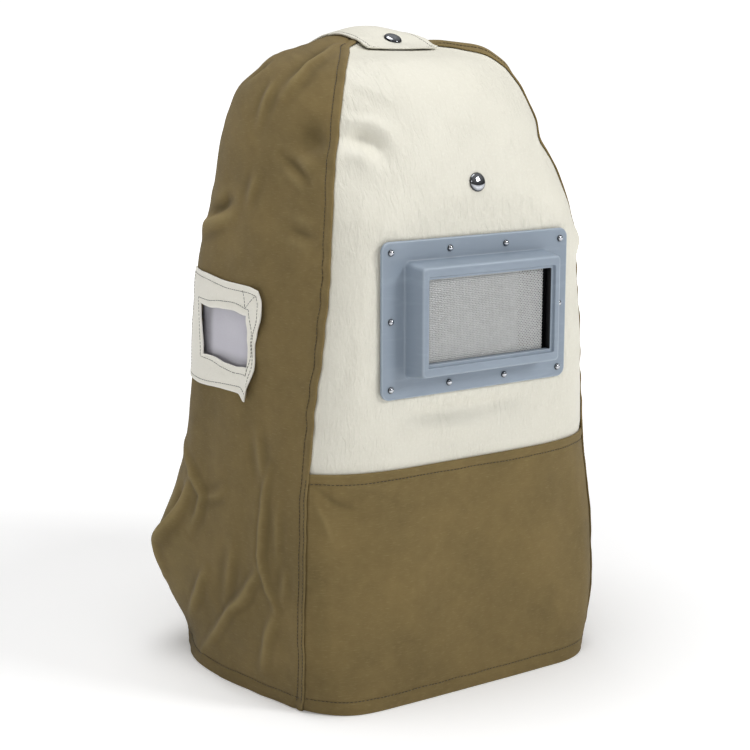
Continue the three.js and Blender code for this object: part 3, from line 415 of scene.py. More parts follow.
def mesh_object(name, points, faces, material, uv=None, values=None):
    """points in millimetres of the part's source; faces a list of index arrays of 3 or more columns."""
    mesh = bpy.data.meshes.new(name)
    points = (np.asarray(points, float).reshape(-1, 3) + SHIFT) * MM
    faces = [np.asarray(f, np.int32) for f in (faces if isinstance(faces, list) else [faces])]
    loops = np.concatenate([f.ravel() for f in faces])
    counts = np.concatenate([np.full(len(f), f.shape[1], np.int32) for f in faces])
    mesh.vertices.add(len(points))
    mesh.vertices.foreach_set("co", points.astype(np.float32).ravel())
    mesh.loops.add(len(loops))
    mesh.loops.foreach_set("vertex_index", loops)
    mesh.polygons.add(len(counts))
    mesh.polygons.foreach_set("loop_start", np.concatenate([[0], np.cumsum(counts)[:-1]]).astype(np.int32))
    mesh.update(calc_edges=True)
    mesh.validate()
    mesh.polygons.foreach_set("use_smooth", np.ones(len(mesh.polygons), bool))
    if uv is not None:
        layer = mesh.uv_layers.new(name="cloth")
        index = np.zeros(len(mesh.loops), np.int32)
        mesh.loops.foreach_get("vertex_index", index)
        layer.data.foreach_set("uv", (uv.reshape(-1, 2)[index] * MM).astype(np.float32).ravel())
    for key, value in (values or {}).items():
        attribute = mesh.attributes.new(key, "FLOAT", "POINT")
        attribute.data.foreach_set("value", np.asarray(value, np.float32).ravel())
    obj = bpy.data.objects.new(name, mesh)
    bpy.context.scene.collection.objects.link(obj)
    mesh.materials.append(material)
    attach(obj, "root")
    return obj


def quads_of(index):
    """The four-cornered faces of a grid of point numbers."""
    return np.stack([index[:-1, :-1], index[:-1, 1:], index[1:, 1:], index[1:, :-1]], -1).reshape(-1, 4)


def grid_faces(rows, columns, hole=None, flip=False):
    """Faces of one grid, without those that have all four corners in the hole."""
    quads = quads_of(np.arange(rows * columns).reshape(rows, columns))
    if hole is not None:
        quads = quads[~hole.ravel()[quads].all(axis=1)]
    return quads[:, ::-1] if flip else quads


def shell_faces(rows, columns, loop=False):
    """A closed skin round two stacked grids. With loop, the columns run round and meet."""
    count = rows * columns
    index = np.arange(count).reshape(rows, columns)
    if loop:
        index = np.concatenate([index, index[:, :1]], 1)
    top = quads_of(index)
    rims = [index[0], index[-1][::-1]] + ([] if loop else [index[::-1, 0], index[:, -1]])
    walls = [np.stack([line[1:], line[:-1], line[:-1] + count, line[1:] + count], -1) for line in rims]
    return np.concatenate([top, top[:, ::-1] + count, *walls])


# Materials

SOCKETS = {"ior": "IOR", "base": "Base Color", "sheen": "Sheen Weight", "sheen_rough": "Sheen Roughness",
           "specular": "Specular IOR Level", "coat": "Coat Weight", "coat_rough": "Coat Roughness"}


def material(name, **values):
    made = bpy.data.materials.new(name)
    made.use_nodes = True
    shader = made.node_tree.nodes["Principled BSDF"]
    for key, value in values.items():
        shader.inputs[SOCKETS.get(key, key.title())].default_value = value
    return made, made.node_tree, shader


def add(tree, kind, inputs=None, **settings):
    node = tree.nodes.new(kind)
    for key, value in settings.items():
        setattr(node, key, value)
    for key, value in (inputs or {}).items():
        if isinstance(value, bpy.types.NodeSocket):
            tree.links.new(value, node.inputs[key])
        else:
            node.inputs[key].default_value = value
    return node


def maths(tree, operation, a, b):
    return add(tree, "ShaderNodeMath", {0: a, 1: b}, operation=operation).outputs[0]


def between(tree, value, low, high, to_low, to_high):
    return add(tree, "ShaderNodeMapRange", {
        "Value": value, "From Min": low, "From Max": high, "To Min": to_low, "To Max": to_high,
    }).outputs[0]


def noise(tree, coords, scale, detail=3.0, rough=0.55, distortion=0.0):
    return add(tree, "ShaderNodeTexNoise", {
        "Vector": coords, "Scale": scale, "Detail": detail, "Roughness": rough, "Distortion": distortion,
    }).outputs["Fac"]


def stretched(tree, coords, x, y, z=1.0):
    return add(tree, "ShaderNodeMapping", {"Vector": coords, "Scale": (x, y, z)}).outputs[0]


def rgb(text):
    parts = [int(text[k:k + 2], 16) / 255 for k in (0, 2, 4)]
    return (*[c / 12.92 if c <= 0.04045 else ((c + 0.055) / 1.055) ** 2.4 for c in parts], 1)


def attribute(tree, name):
    return add(tree, "ShaderNodeAttribute", attribute_name=name, attribute_type="GEOMETRY").outputs["Fac"]


def cloth_spot(tree):
    return add(tree, "ShaderNodeUVMap", uv_map="cloth").outputs[0]


def object_spot(tree):
    return add(tree, "ShaderNodeTexCoord").outputs["Object"]


def tinted(tree, shader, tone, *layers):
    """Colours laid over a base. A layer: what it follows, that value's range from and to, its colour."""
    for value, *span, colour in layers:
        share = between(tree, value, *span) if span else value
        tone = add(tree, "ShaderNodeMix", {0: share, 6: tone, 7: colour}, data_type="RGBA").outputs[2]
    tree.links.new(tone, shader.inputs["Base Color"])


def roughened(tree, shader, value, *span):
    tree.links.new(between(tree, value, *span), shader.inputs["Roughness"])


def bumped(tree, shader, *heights):
    """Chained bumps, each of a height field, its strength and its distance in millimetres."""
    chain = {}
    for height, strength, distance in heights:
        inputs = {"Height": height, "Strength": strength, "Distance": distance * MM, **chain}
        chain = {"Normal": add(tree, "ShaderNodeBump", inputs).outputs[0]}
    tree.links.new(chain["Normal"], shader.inputs["Normal"])


def canvas_material(name, base, light, dark):
    made, tree, shader = material(name, roughness=0.88, sheen=0.05, sheen_rough=0.5, specular=0.14)
    uv = cloth_spot(tree)
    warp, weft = [
        add(tree, "ShaderNodeTexWave", {
            "Vector": uv, "Scale": scale, "Distortion": 1.6, "Detail": 1.0, "Detail Scale": 0.6,
        }, bands_direction=axis).outputs["Fac"] for axis, scale in (("X", 360.0), ("Y", 300.0))
    ]
    weave = maths(tree, "MULTIPLY", warp, weft)
    mottled = noise(tree, uv, 95.0, 3.0, 0.6)
    slubs = noise(tree, stretched(tree, uv, 160.0, 900.0), 1.0, 2.0, 0.6)
    crinkle = noise(tree, uv, 60.0, 4.0, 0.6, 0.8)
    painted_fold_shading = attribute(tree, "painted_fold_shading")
    tinted(tree, shader, base,
           (noise(tree, uv, 14.0), 0.32, 0.68, 0.0, 0.6, dark),
           (mottled, 0.35, 0.7, 0.0, 0.16, light),
           (slubs, 0.55, 0.75, 0.0, 0.35, light),
           (weave, 0.0, 0.9, 0.22, 0.0, dark),
           # Painted highlight on raised folds and painted shade in sunk folds and valleys
           (painted_fold_shading, 0.05, 1.8, 0.0, 0.5, light),
           (painted_fold_shading, -0.05, -1.2, 0.0, 0.75, dark),
           (attribute(tree, "wear"), 0.0, 1.0, 0.0, 0.18, light))
    roughened(tree, shader, mottled, 0.3, 0.7, 0.8, 0.95)
    bumped(tree, shader, (crinkle, 0.45, 0.6), (weave, 0.6, 0.14), (slubs, 0.4, 0.12))
    return made


def leather_material(name, base, light, dark, crepe=0.52):
    made, tree, shader = material(name, roughness=0.55, specular=0.42, sheen=0.05)
    uv = cloth_spot(tree)
    pores = add(tree, "ShaderNodeTexVoronoi", {"Vector": uv, "Scale": 720.0, "Randomness": 1.0},
                feature="DISTANCE_TO_EDGE").outputs["Distance"]
    pebbles = noise(tree, uv, 420.0, 3.0, 0.6)
    wrinkles = noise(tree, stretched(tree, uv, 300.0, 85.0), 1.0, 3.5, 0.55, 1.0)
    soft = noise(tree, stretched(tree, uv, 60.0, 42.0), 1.0, 3.0, 0.5, 0.6)
    zone = between(tree, noise(tree, uv, 22.0, 2.0, 0.5), 0.4, 0.62, 0.3, 1.0)
    drawn = maths(tree, "MULTIPLY", wrinkles, maths(tree, "MAXIMUM", zone, attribute(tree, "crepe")))
    tinted(tree, shader, base,
           (noise(tree, uv, 16.0), 0.3, 0.7, 0.0, 0.3, dark),
           (pebbles, 0.5, 0.8, 0.0, 0.45, light),
           (pores, 0.0, 0.05, 0.1, 0.0, dark),
           (attribute(tree, "wear"), 0.0, 1.0, 0.0, 0.6, light))
    roughened(tree, shader, pebbles, 0.3, 0.7, 0.46, 0.66)
    bumped(tree, shader, (soft, 0.5, 0.7), (drawn, crepe, 3.2), (pores, 0.4, 0.25), (pebbles, 0.18, 0.2))
    return made


def plastic_material():
    made, tree, shader = material("frame_plastic", roughness=0.4, specular=0.5)
    spot = object_spot(tree)
    cloudy = noise(tree, spot, 18.0, 3.0, 0.5)
    grit = noise(tree, spot, 900.0, 2.0, 0.6)
    swirl = noise(tree, stretched(tree, spot, 20.0, 20.0, 110.0), 1.0, 3.0, 0.6, 0.7)
    tinted(tree, shader, rgb("84909d"),
           (cloudy, 0.3, 0.7, 0.0, 0.6, rgb("7a8693")),
           (swirl, 0.5, 0.75, 0.0, 0.3, rgb("9aa7b4")),
           (attribute(tree, "rim"), rgb("aab6c2")),
           # Painted shadow: near-black on the lip's inner wall at +x
           (attribute(tree, "dark"), rgb("0b0b0d")))
    roughened(tree, shader, swirl, 0.3, 0.7, 0.32, 0.5)
    bumped(tree, shader, (grit, 0.12, 0.15), (cloudy, 0.2, 0.8))
    return made


def metal_material(name, base, light, low, high, scratch, metal=1.0):
    made, tree, shader = material(name, metallic=metal, roughness=0.2)
    spot = object_spot(tree)
    marks = noise(tree, stretched(tree, spot, 300.0, 300.0, 1800.0), 1.0, 3.0, 0.6)
    tinted(tree, shader, base,
           (noise(tree, spot, 260.0, 3.0, 0.6), 0.35, 0.7, 0.0, 1.0, light),
           # Painted shadow and dark reflection at a rivet dome's rim, fading up the dome
           (attribute(tree, "painted_rim_shadow"), rgb("1d1e20")))
    roughened(tree, shader, marks, 0.3, 0.75, low, high)
    bumped(tree, shader, (marks, scratch, 0.05))
    return made


def thread_material(name, base, light):
    made, tree, shader = material(name, roughness=0.75, sheen=0.3, specular=0.3)
    twist = noise(tree, object_spot(tree), 2600.0, 2.0, 0.6)
    tinted(tree, shader, base, (twist, 0.35, 0.7, 0.0, 1.0, light))
    bumped(tree, shader, (twist, 0.4, 0.1))
    return made


def film_material():
    made, tree, shader = material("side_film", roughness=0.42, specular=0.45, coat=0.15, coat_rough=0.25)
    uv = cloth_spot(tree)
    cloudy = noise(tree, uv, 30.0)
    threads = add(tree, "ShaderNodeTexWave", {"Vector": uv, "Scale": 420.0, "Distortion": 0.6},
                  bands_direction="X").outputs["Fac"]
    tinted(tree, shader, rgb("c0bec7"),
           # Painted shadow along the film's back and bottom, where the opening's edges shade it
           (attribute(tree, "painted_edge_shadow"), rgb("6f6d72")),
           (cloudy, 0.3, 0.7, 0.0, 0.4, rgb("b4b2bb")),
           (noise(tree, uv, 700.0, 2.0, 0.7), 0.5, 0.75, 0.0, 0.35, rgb("adabb4")))
    bumped(tree, shader, (threads, 0.25, 0.1), (cloudy, 0.4, 1.2))
    return made


def glass_material():
    """Clear glass with haze on the wearer's right and a clean strip at the far edge, by x in millimetres."""
    made, tree, shader = material("window_glass", roughness=0.05, specular=0.5, ior=1.5)
    spot = object_spot(tree)
    smear = noise(tree, spot, 60.0, 3.0, 0.6)
    across = add(tree, "ShaderNodeSeparateXYZ", {0: spot}).outputs["X"]
    haze = between(tree, smear, 0.3, 0.7, 0.85, 1.0)
    for low, high, share_low, share_high in ((31, 36, 0.93, 0.2), (56.5, 58, 1.0, 0.0)):
        edge = between(tree, across, (SHIFT[0] + low) * MM, (SHIFT[0] + high) * MM, share_low, share_high)
        haze = maths(tree, "MULTIPLY", haze, edge)
    tree.links.new(haze, shader.inputs["Alpha"])
    tinted(tree, shader, rgb("d6d8d8"), (smear, 0.35, 0.65, 0.0, 1.0, rgb("c4c7c7")))
    roughened(tree, shader, smear, 0.4, 0.8, 0.03, 0.16)
    return made


CANVAS = canvas_material("khaki_canvas", rgb("7b6943"), rgb("98885e"), rgb("5d5033"))
LEATHER = leather_material("cream_leather", rgb("d6d3c6"), rgb("e3e1d6"), rgb("cbc8ba"))
# A lighter copy of the cream leather for the side patches, painted lighter to make up for the shade on the hood's
# sides
PATCH_LEATHER_LIGHTENED = leather_material("patch_leather", rgb("e6e3d8"), rgb("f0eee6"), rgb("dad7ca"), 0.3)
PLASTIC = plastic_material()
STEEL = metal_material("rivet_steel", rgb("a6a9ae"), rgb("c6c9ce"), 0.05, 0.12, 0.06)
WIRE = metal_material("mesh_wire", rgb("c0c1c0"), rgb("cbcccb"), 0.42, 0.5, 0.1, 0.4)
KHAKI_THREAD = thread_material("khaki_thread", rgb("2a2312"), rgb("443920"))
DARK_THREAD = thread_material("dark_thread", rgb("1b1a17"), rgb("3a3833"))
FILM = film_material()
GLASS = glass_material()


# Stitches

def stitches(name, points, normals, thread, pitch=3.3, length=3.0, wide=0.66, seed=1):
    """Short sunk threads along a line of points, joined as one mesh."""
    points, normals = np.asarray(points, float), np.asarray(normals, float)
    far = np.concatenate([[0], np.cumsum(np.linalg.norm(np.diff(points, axis=0), axis=1))])
    rng = np.random.default_rng(seed)
    starts = np.arange(0.4, far[-1] - length, pitch)
    starts = starts + rng.uniform(-0.25, 0.25, len(starts))
    lengths = length * rng.uniform(0.86, 1.1, len(starts))

    def at(where, values):
        return np.stack([np.interp(where, far, values[:, k]) for k in range(3)], 1)

    first, last = at(starts, points), at(starts + lengths, points)
    out = at(starts + lengths / 2, normals)
    out /= np.linalg.norm(out, axis=1, keepdims=True)
    along = last - first
    along /= np.maximum(1e-6, np.linalg.norm(along, axis=1, keepdims=True))
    across = np.cross(out, along)
    rings = ((0.0, 0.25, -0.2), (0.18, 0.85, 0.1), (0.5, 1.0, 0.22), (0.82, 0.85, 0.1), (1.0, 0.25, -0.2))
    sides = 5
    skew = rng.uniform(-0.12, 0.12, len(starts))[:, None]
    verts = []
    for share, fat, raised in rings:
        middle = first + (last - first) * share + out * (raised * wide)
        middle = middle + across * (skew * (share - 0.5) * 2)
        for k in range(sides):
            turn = 2 * math.pi * k / sides
            verts.append(middle + (across * math.cos(turn) + out * 0.8 * math.sin(turn)) * (0.5 * wide * fat))
    count = len(rings) * sides
    verts = np.stack(verts, 1)
    quads = []
    for ring in range(len(rings) - 1):
        for k in range(sides):
            a, b = ring * sides + k, ring * sides + (k + 1) % sides
            quads.append((a, b, b + sides, a + sides))
    caps = [list(range(sides))[::-1], [count - sides + k for k in range(sides)]]
    base = (np.arange(len(starts)) * count)[:, None, None]
    quads = (np.array(quads)[None] + base).reshape(-1, 4)
    caps = (np.array(caps)[None] + base).reshape(-1, sides)
    return mesh_object(name, verts.reshape(-1, 3), [quads, caps], thread)


def cloth_line(side, around, up, offset):
    around, up = np.asarray(around, float), np.asarray(up, float)
    points, _ = cloth(side, around, up, np.asarray(offset) + np.zeros(len(around)))
    return points, form_normal(side, around, up)


# The canvas and leather panels

SPACING, FACE_SPACING = 1.9, 1.65
PANEL_COLUMNS = 176
HEM_TURN_ROWS = 7  # how many of a hem's rows lie inside
TOP_TURN_ROWS = 5  # and how many at a turned top
# Turned edges of the side panels: distance past the edge, offset, and at the back also the wear
FRONT_TURN = [(9.0, -1.15), (5.0, -1.15), (2.0, -1.1), (0.5, -0.95), (-0.1, -0.55), (-0.25, -0.1), (0.1, 0.3),
              (0.9, 0.6), (2.2, 0.75)]
BACK_TURN = {-1: [(0.6, 0.1, 0.5), (0.9, -0.3, 0.5), (0.5, -0.8, 0.5), (-1.0, -1.1, 0), (-6.0, -1.15, 0)],
             1: [(0.2, -0.7, 0), (1.2, -1.45, 0), (4.0, -1.6, 0), (8.0, -1.6, 0), (11.0, -1.6, 0)]}


def edge_wave(side, up):
    """The panels' folded edges are not quite straight."""
    return 1.1 * lattice_noise(up, up * 0 + 9 * side, 30, 41) + 0.5 * wobble(up, 11, 42)


def hem_rows(top, turned_top):
    """Rows from the turned-up hem, round the fold at the ground, and up: up, offset and wear."""
    rows = [(HEM_DEPTH - 0.5, -1.5), (9, -1.5), (5, -1.45), (2, -1.35), (0.7, -1.15), (0.15, -0.75),
            (0.0, -0.3), (0.35, 0.25), (1.2, 0.55)]
    rows += [(u, 0.0) for u in np.arange(2.6, top - (3 if turned_top else 0), SPACING)]
    if turned_top:
        rows += [(top - 1.6, 0.45), (top - 0.6, 0.35), (top - 0.1, 0.0), (top, -0.4), (top - 0.3, -0.85),
                 (top - 1.2, -1.15), (top - 4, -1.2), (top - 9, -1.2)]
    else:
        rows += [(top, 0.0)]
    up, offset = np.array(rows).T
    puffed = 0.75 * bell(up, 6, 4.5) - 0.45 * bell(up, HEM_DEPTH, 1.1)
    offset = offset + np.where(np.arange(len(rows)) >= HEM_TURN_ROWS, puffed, 0)
    wear = bell(up, 0, 1.8)
    if turned_top:
        wear = wear + bell(up, top, 1.6)
    return up, offset, wear


def across_all(column, columns):
    return np.repeat(column[:, None], columns.shape[1], 1)


def side_panel(side, name, obj_name):
    up, row_offset, row_wear = hem_rows(PANEL_TOP, False)
    front, total = front_at(up), total_at(up)
    wave = edge_wave(side, up)
    level = np.zeros(len(up))
    columns = [(front + step + wave, level + out, level + math.exp(-(step / 1.2) ** 2) * 0.8)
               for step, out in FRONT_TURN]
    start = front + 3.6 + wave
    end = total + (0.0 if side == -1 else -1.0)
    for k in range(PANEL_COLUMNS + 1):
        around = start + (end - start) * (k / PANEL_COLUMNS)
        a = around - front - wave
        columns.append((around, 0.75 * bell(a, 3.4, 2.6) - 0.55 * bell(a, 8.2, 1.1) + 0.3 * bell(a, 12, 3), level))
    columns += [(total + step, level + out, level + worn) for step, out, worn in BACK_TURN[side]]
    around, offset, wear = np.array(columns).transpose(1, 2, 0)
    ups = across_all(up, around)
    points, painted_fold_shading = cloth(side, around, ups, offset + row_offset[:, None])
    faces = grid_faces(*around.shape, hole=inside_sight(side, points, 3.2), flip=side == -1)
    made = mesh_object(obj_name, points, faces, CANVAS, np.stack([around * side, ups], -1),
                       {"painted_fold_shading": painted_fold_shading, "wear": wear + row_wear[:, None] * 0.8})
    clean_loose(made)
    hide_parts(name)
    return made


def inside_sight(side, points, grow):
    """Which points lie in the side window, grown by that much."""
    y, z = points[..., 1] - SIGHT_Y, points[..., 2] - SIGHT_MID_Z
    lean = 0.066 * SIGHT_WIDE * (z / SIGHT_TALL)
    return ((y > -0.5 * SIGHT_WIDE + lean - grow) & (y < 0.51 * SIGHT_WIDE + lean + grow)
            & (np.abs(z) < 0.49 * SIGHT_TALL + grow) & (points[..., 0] * side > 60))


def clean_loose(obj):
    mesh = bmesh.new()
    mesh.from_mesh(obj.data)
    loose = [v for v in mesh.verts if not v.link_faces]
    bmesh.ops.delete(mesh, geom=loose, context="VERTS")
    mesh.to_mesh(obj.data)
    mesh.free()


def face_columns(up, spacing):
    wide = front_at(up) + SEAM_LAP - 1
    count = int(round(2 * wide.max() / spacing))
    return wide[:, None] * np.linspace(-1, 1, count + 1)[None, :]


def crepe_at(x, z):
    """Where the leather is drawn up: round the window, and between it and the forehead rivet."""
    beside = np.maximum(np.abs(x) - FLANGE_X, np.abs(z - WINDOW_HEIGHT) - FLANGE_Z)
    above = (smooth(FLANGE_Z + 70, FLANGE_Z + 20, z - WINDOW_HEIGHT) * (z > WINDOW_HEIGHT)
             * smooth(90, 50, np.abs(x)))
    return np.clip(bell(np.maximum(0, beside), 0, 17) + 0.8 * above, 0, 1)


def front_panel():
    up = np.arange(up_at(SKIRT_TOP - SKIRT_LAP), up_at(LEATHER_TOP), FACE_SPACING)
    around = face_columns(up, FACE_SPACING)
    ups = across_all(up, around)
    step = smooth(up_at(SKIRT_TOP) + 10, up_at(SKIRT_TOP), ups)
    offset = -(UNDER_FLANK + (UNDER_SKIRT - UNDER_FLANK) * step)
    x, _, z = np.moveaxis(form(1, around, ups), -1, 0)
    drawn = crepe_at(x, z)
    ripple = lattice_noise(around * 2.6, ups, 9, 71) * 0.6 + lattice_noise(around * 1.5, ups * 1.3, 5, 72) * 0.3
    behind = (np.abs(x) < FLANGE_X + 1) & (np.abs(z - WINDOW_HEIGHT) < FLANGE_Z + 1)
    offset = offset + np.where(behind, -0.4, ripple * drawn)
    sag = -3.8 * bell(z, 252, 7) * smooth(-75, -40, x) * smooth(70, 20, x)
    sag += 3.4 * bell(z + 0.08 * (x + 60), 240, 9) * smooth(-85, -60, x) * smooth(30, -20, x)
    points, _ = cloth(1, around, ups, offset + sag)
    points[..., 1] = np.where(behind, np.maximum(points[..., 1], FLANGE_BACK + 0.35), points[..., 1])
    hole = (np.abs(points[..., 0]) < SIGHT_X + 5) & (np.abs(points[..., 2] - WINDOW_HEIGHT) < SIGHT_Z + 5)
    made = mesh_object("leather_front", points, grid_faces(*around.shape, hole=hole), LEATHER,
                       np.stack([around, ups], -1), {"crepe": drawn})
    clean_loose(made)
    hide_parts("front_panel")
    return made


def front_skirt():
    top = float(up_at(SKIRT_TOP))
    up, row_offset, row_wear = hem_rows(top, True)
    around = face_columns(up, SPACING)
    ups = across_all(up, around)
    tops = 0.8 * bell(up, top - 4, 3) - 0.5 * bell(up, top - 8.4, 1.1)
    row = np.arange(len(up))
    outer = (row >= HEM_TURN_ROWS) & (row < len(up) - TOP_TURN_ROWS)
    offset = row_offset - UNDER_FLANK + np.where(outer, tops, 0)
    points, painted_fold_shading = cloth(1, around, ups, across_all(offset, around))
    made = mesh_object("canvas_skirt", points, grid_faces(*around.shape), CANVAS,
                       np.stack([around, ups], -1), {"painted_fold_shading": painted_fold_shading, "wear": across_all(row_wear * 0.8, around)})
    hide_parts("front_skirt")
    return made


right_panel = side_panel(-1, "side_panel_right", "canvas_right")
left_panel = side_panel(1, "side_panel_left", "canvas_left")
leather = front_panel()
skirt = front_skirt()


def khaki_line(name, side, around, up, offset, seed, pitch=3.3):
    line = cloth_line(side, around, up, offset)
    stitches(name, *line, KHAKI_THREAD, pitch=pitch, seed=seed)


skirt_up = up_at(SKIRT_TOP)
for side, word in ((-1, "right"), (1, "left")):
    # Distance past the panel's folded edge, from and to up the cloth, offset, seed
    for line, inwards, low, high, offset, seed in (
        ("upper", 8.2, skirt_up, up_at(SEAM_END), 0.0, 5),
        ("lower", 8.2, 1.5, skirt_up, 0.0, 15),
        ("edge", 1.9, 1.5, skirt_up - 2, 0.85, 25),
    ):
        up = np.arange(low, high, 1.2)
        around = front_at(up) + edge_wave(side, up) + inwards + 0.35 * wobble(up, 22, seed + side)
        khaki_line(f"seam_stitch_{word}_{line}", side, around, up, offset, seed + side)

hem_front, hem_total = float(front_at(HEM_DEPTH)), float(total_at(HEM_DEPTH))
top_up = float(skirt_up) - 8.4
top_front = float(front_at(top_up))
for name, side, low, high, level, offset, seed in (
    ("hem_stitch_right", -1, hem_front + 1, hem_total, HEM_DEPTH, 0.05, 51),
    ("hem_stitch_left", 1, hem_front + 1, hem_total - 1, HEM_DEPTH, 0.05, 52),
    ("hem_stitch_front", 1, -hem_front + 1, hem_front - 1, HEM_DEPTH, -UNDER_FLANK + 0.05, 53),
    ("skirt_stitch", 1, -top_front + 1, top_front - 1, top_up, -UNDER_FLANK + 0.1, 54),
):
    around = np.arange(low, high, 1.4)
    khaki_line(name, side, around, level + 0.5 * wobble(around, 18, seed), offset, seed, 3.5)
back_up = np.arange(2, 626, 1.4)
khaki_line("back_stitch", -1, total_at(back_up) - 6 - 0.3 * wobble(back_up, 20, 8), back_up, 0.15, 61)


# Side window patches and films

# Edges of the patch: place along the edge and distance inwards, in shares of the patch
PATCH_FRONT = [(0, 0.07), (0.08, 0.05), (0.28, 0.0), (0.5, 0.045), (0.62, 0.01), (0.78, -0.042), (0.9, -0.028),
               (1, 0.02)]
PATCH_BACK = [(0, 0.02), (0.3, 0.0), (0.6, 0.02), (1, 0.0)]
PATCH_TOP = [(0, 0.055), (0.12, 0.035), (0.4, 0.03), (0.7, 0.0), (1, -0.01)]
PATCH_BOTTOM = [(0, 0.0), (0.1, 0.055), (0.35, 0.05), (0.6, 0.035), (1, 0.05)]
SIGHT_CORNERS = [(-0.53, -0.5), (-0.45, 0.48), (0.58, 0.5), (0.43, -0.47)]


def edge_table(table, at):
    rows = np.array(table, float)
    return curve_through(rows[:, 0], rows[:, 1], np.asarray(at, float))


def patch_place(p, q):
    begin = PATCH_BEGIN + PATCH_WIDTH * edge_table(PATCH_FRONT, q)
    end = PATCH_END + PATCH_WIDTH * edge_table(PATCH_BACK, q)
    low = PATCH_LOW + PATCH_TALL * edge_table(PATCH_BOTTOM, p)
    high = PATCH_HIGH - PATCH_TALL * edge_table(PATCH_TOP, p)
    return np.stack([begin + (end - begin) * p, low + (high - low) * q], -1)


def around_of(y, z):
    """Distance from the front seam at which a flank's level reaches y."""
    up = float(up_at(z))
    j = int(round(up / UP_END * (LEVEL_COUNT - 1)))
    half = FLANK[j, :230]
    far = np.linspace(0, TOTAL_LENGTH[j] - FRONT_LENGTH[j], FLANK_SHARES + 1)[:230]
    return float(np.interp(y, half[:, 1], far))


def patch_rings(seed):
    """The opening's edge and the patch's outer edge, as matching loops of (around, height)."""
    corners = [
        np.array([around_of(SIGHT_Y + SIGHT_WIDE * a, SIGHT_MID_Z + SIGHT_TALL * b), SIGHT_MID_Z + SIGHT_TALL * b])
        for a, b in SIGHT_CORNERS
    ]
    count = 46
    t = np.arange(count) / count
    zero, one = np.zeros(count), np.ones(count)
    outer = np.concatenate([patch_place(zero, t), patch_place(t, one), patch_place(one, 1 - t),
                            patch_place(1 - t, zero)])
    inner = []
    for k in range(4):
        a, b = corners[k], corners[(k + 1) % 4]
        line = a + (b - a) * t[:, None]
        across = np.array([-(b - a)[1], (b - a)[0]]) / np.linalg.norm(b - a)
        wave = np.sin(math.pi * t) ** 0.5 * 2.2 * wobble(t * 60, 15, seed + k)
        inner.append(line + across * wave[:, None])
    return np.concatenate(inner), outer


def side_patch(side, name, seed):
    inner, outer = patch_rings(seed)
    loops = len(inner)
    rings = 15
    shares = np.concatenate([[0, 0.03], np.linspace(0.09, 0.93, rings - 4), [0.975, 1.0]])
    ring_shares = shares[:, None]
    flat = inner[None] + (outer - inner)[None] * shares[:, None, None]
    place_x, height = flat[..., 0], flat[..., 1]
    up = up_at(height)
    around = front_at(up) + place_x
    q = (height - PATCH_LOW) / PATCH_TALL
    p = (place_x - PATCH_BEGIN) / PATCH_WIDTH
    wave = 0.5 + 0.5 * np.cos(2 * math.pi * (1.9 * q - 0.35))
    ruffle = 4.6 * wave * (1 - smooth(0.0, 0.21, p))
    corner = 3.4 * bell(p, 0, 0.14) * bell(q, 1, 0.16) + 4.2 * bell(p, 0, 0.12) * bell(q, 0, 0.14)
    edge = smooth(0.72, 1.0, ring_shares)
    loop = np.arange(loops)[None] + 0 * p
    ripple = 0.9 * wobble(loop, 9, seed + 9) * edge
    opening = 0.7 * bell(ring_shares, 0, 0.12) * (1 + wobble(loop, 8, seed))
    sewn = -0.28 * (bell(ring_shares, 0.34, 0.03) + bell(ring_shares, 0.76, 0.03))
    lift = ruffle + corner * edge + np.maximum(0, ripple) + opening
    base, _ = cloth(side, around, up, 0 * up)
    normal = form_normal(side, around, up)
    bottom = base + normal * (0.3 + lift)[..., None]
    top = base + normal * (0.3 + PATCH_THICK + lift + sewn)[..., None]
    faces = shell_faces(rings, loops, loop=True)
    wear = np.repeat(bell(ring_shares, 1, 0.03) + bell(ring_shares, 0, 0.03), loops, 1)
    made = mesh_object(f"leather_{name}", np.concatenate([top, bottom]), faces[:, ::-1] if side == 1 else faces,
                       PATCH_LEATHER_LIGHTENED, np.concatenate([flat, flat]), {"wear": np.concatenate([wear, wear])})
    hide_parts(f"side_patch_{name}")
    lines = []
    width = np.linalg.norm(outer - inner, axis=1)
    each = np.arange(loops)
    index = np.append(each, 0)
    for word, share in (("inner", np.clip(6.6 / width, 0, 0.45)), ("outer", np.clip(1 - 5.6 / width, 0.6, 1))):
        rows = np.interp(share, shares, np.arange(rings))
        low_row = np.clip(np.floor(rows).astype(int), 0, rings - 2)
        t = (rows - low_row)[:, None]
        points = top[low_row, each] * (1 - t) + top[low_row + 1, each] * t
        lines.append(stitches(f"patch_stitch_{word}_{name}", points[index], normal[low_row, each][index],
                              DARK_THREAD, pitch=3.1, length=2.9, wide=0.6, seed=seed))
    skin = BVHTree.FromPolygons([Vector(v) for v in top.reshape(-1, 3)],
                                [tuple(f) for f in grid_faces(rings, loops)])
    t = np.linspace(0, 1, 24)
    for word, (p_low, q_low), (p_high, q_high) in (
        ("corner", (0.2, 0.79), (0.075, 0.93)), ("overrun", (0.2, 0.8), (0.215, 0.97)),
    ):
        spots = patch_place(p_low + (p_high - p_low) * t, q_low + (q_high - q_low) * t)
        ups = up_at(spots[:, 1])
        above, out = cloth_line(side, front_at(ups) + spots[:, 0], ups, 14.0)
        hits = [skin.ray_cast(Vector(a), Vector(-b)) for a, b in zip(above, out)]
        laid = np.array([h[0] if h[0] is not None else a for h, a in zip(hits, above - 12 * out)])
        lines.append(stitches(f"patch_stitch_{word}_{name}", laid, out, DARK_THREAD,
                              pitch=3.0, length=2.8, wide=0.6, seed=seed + 3))
    return made, lines


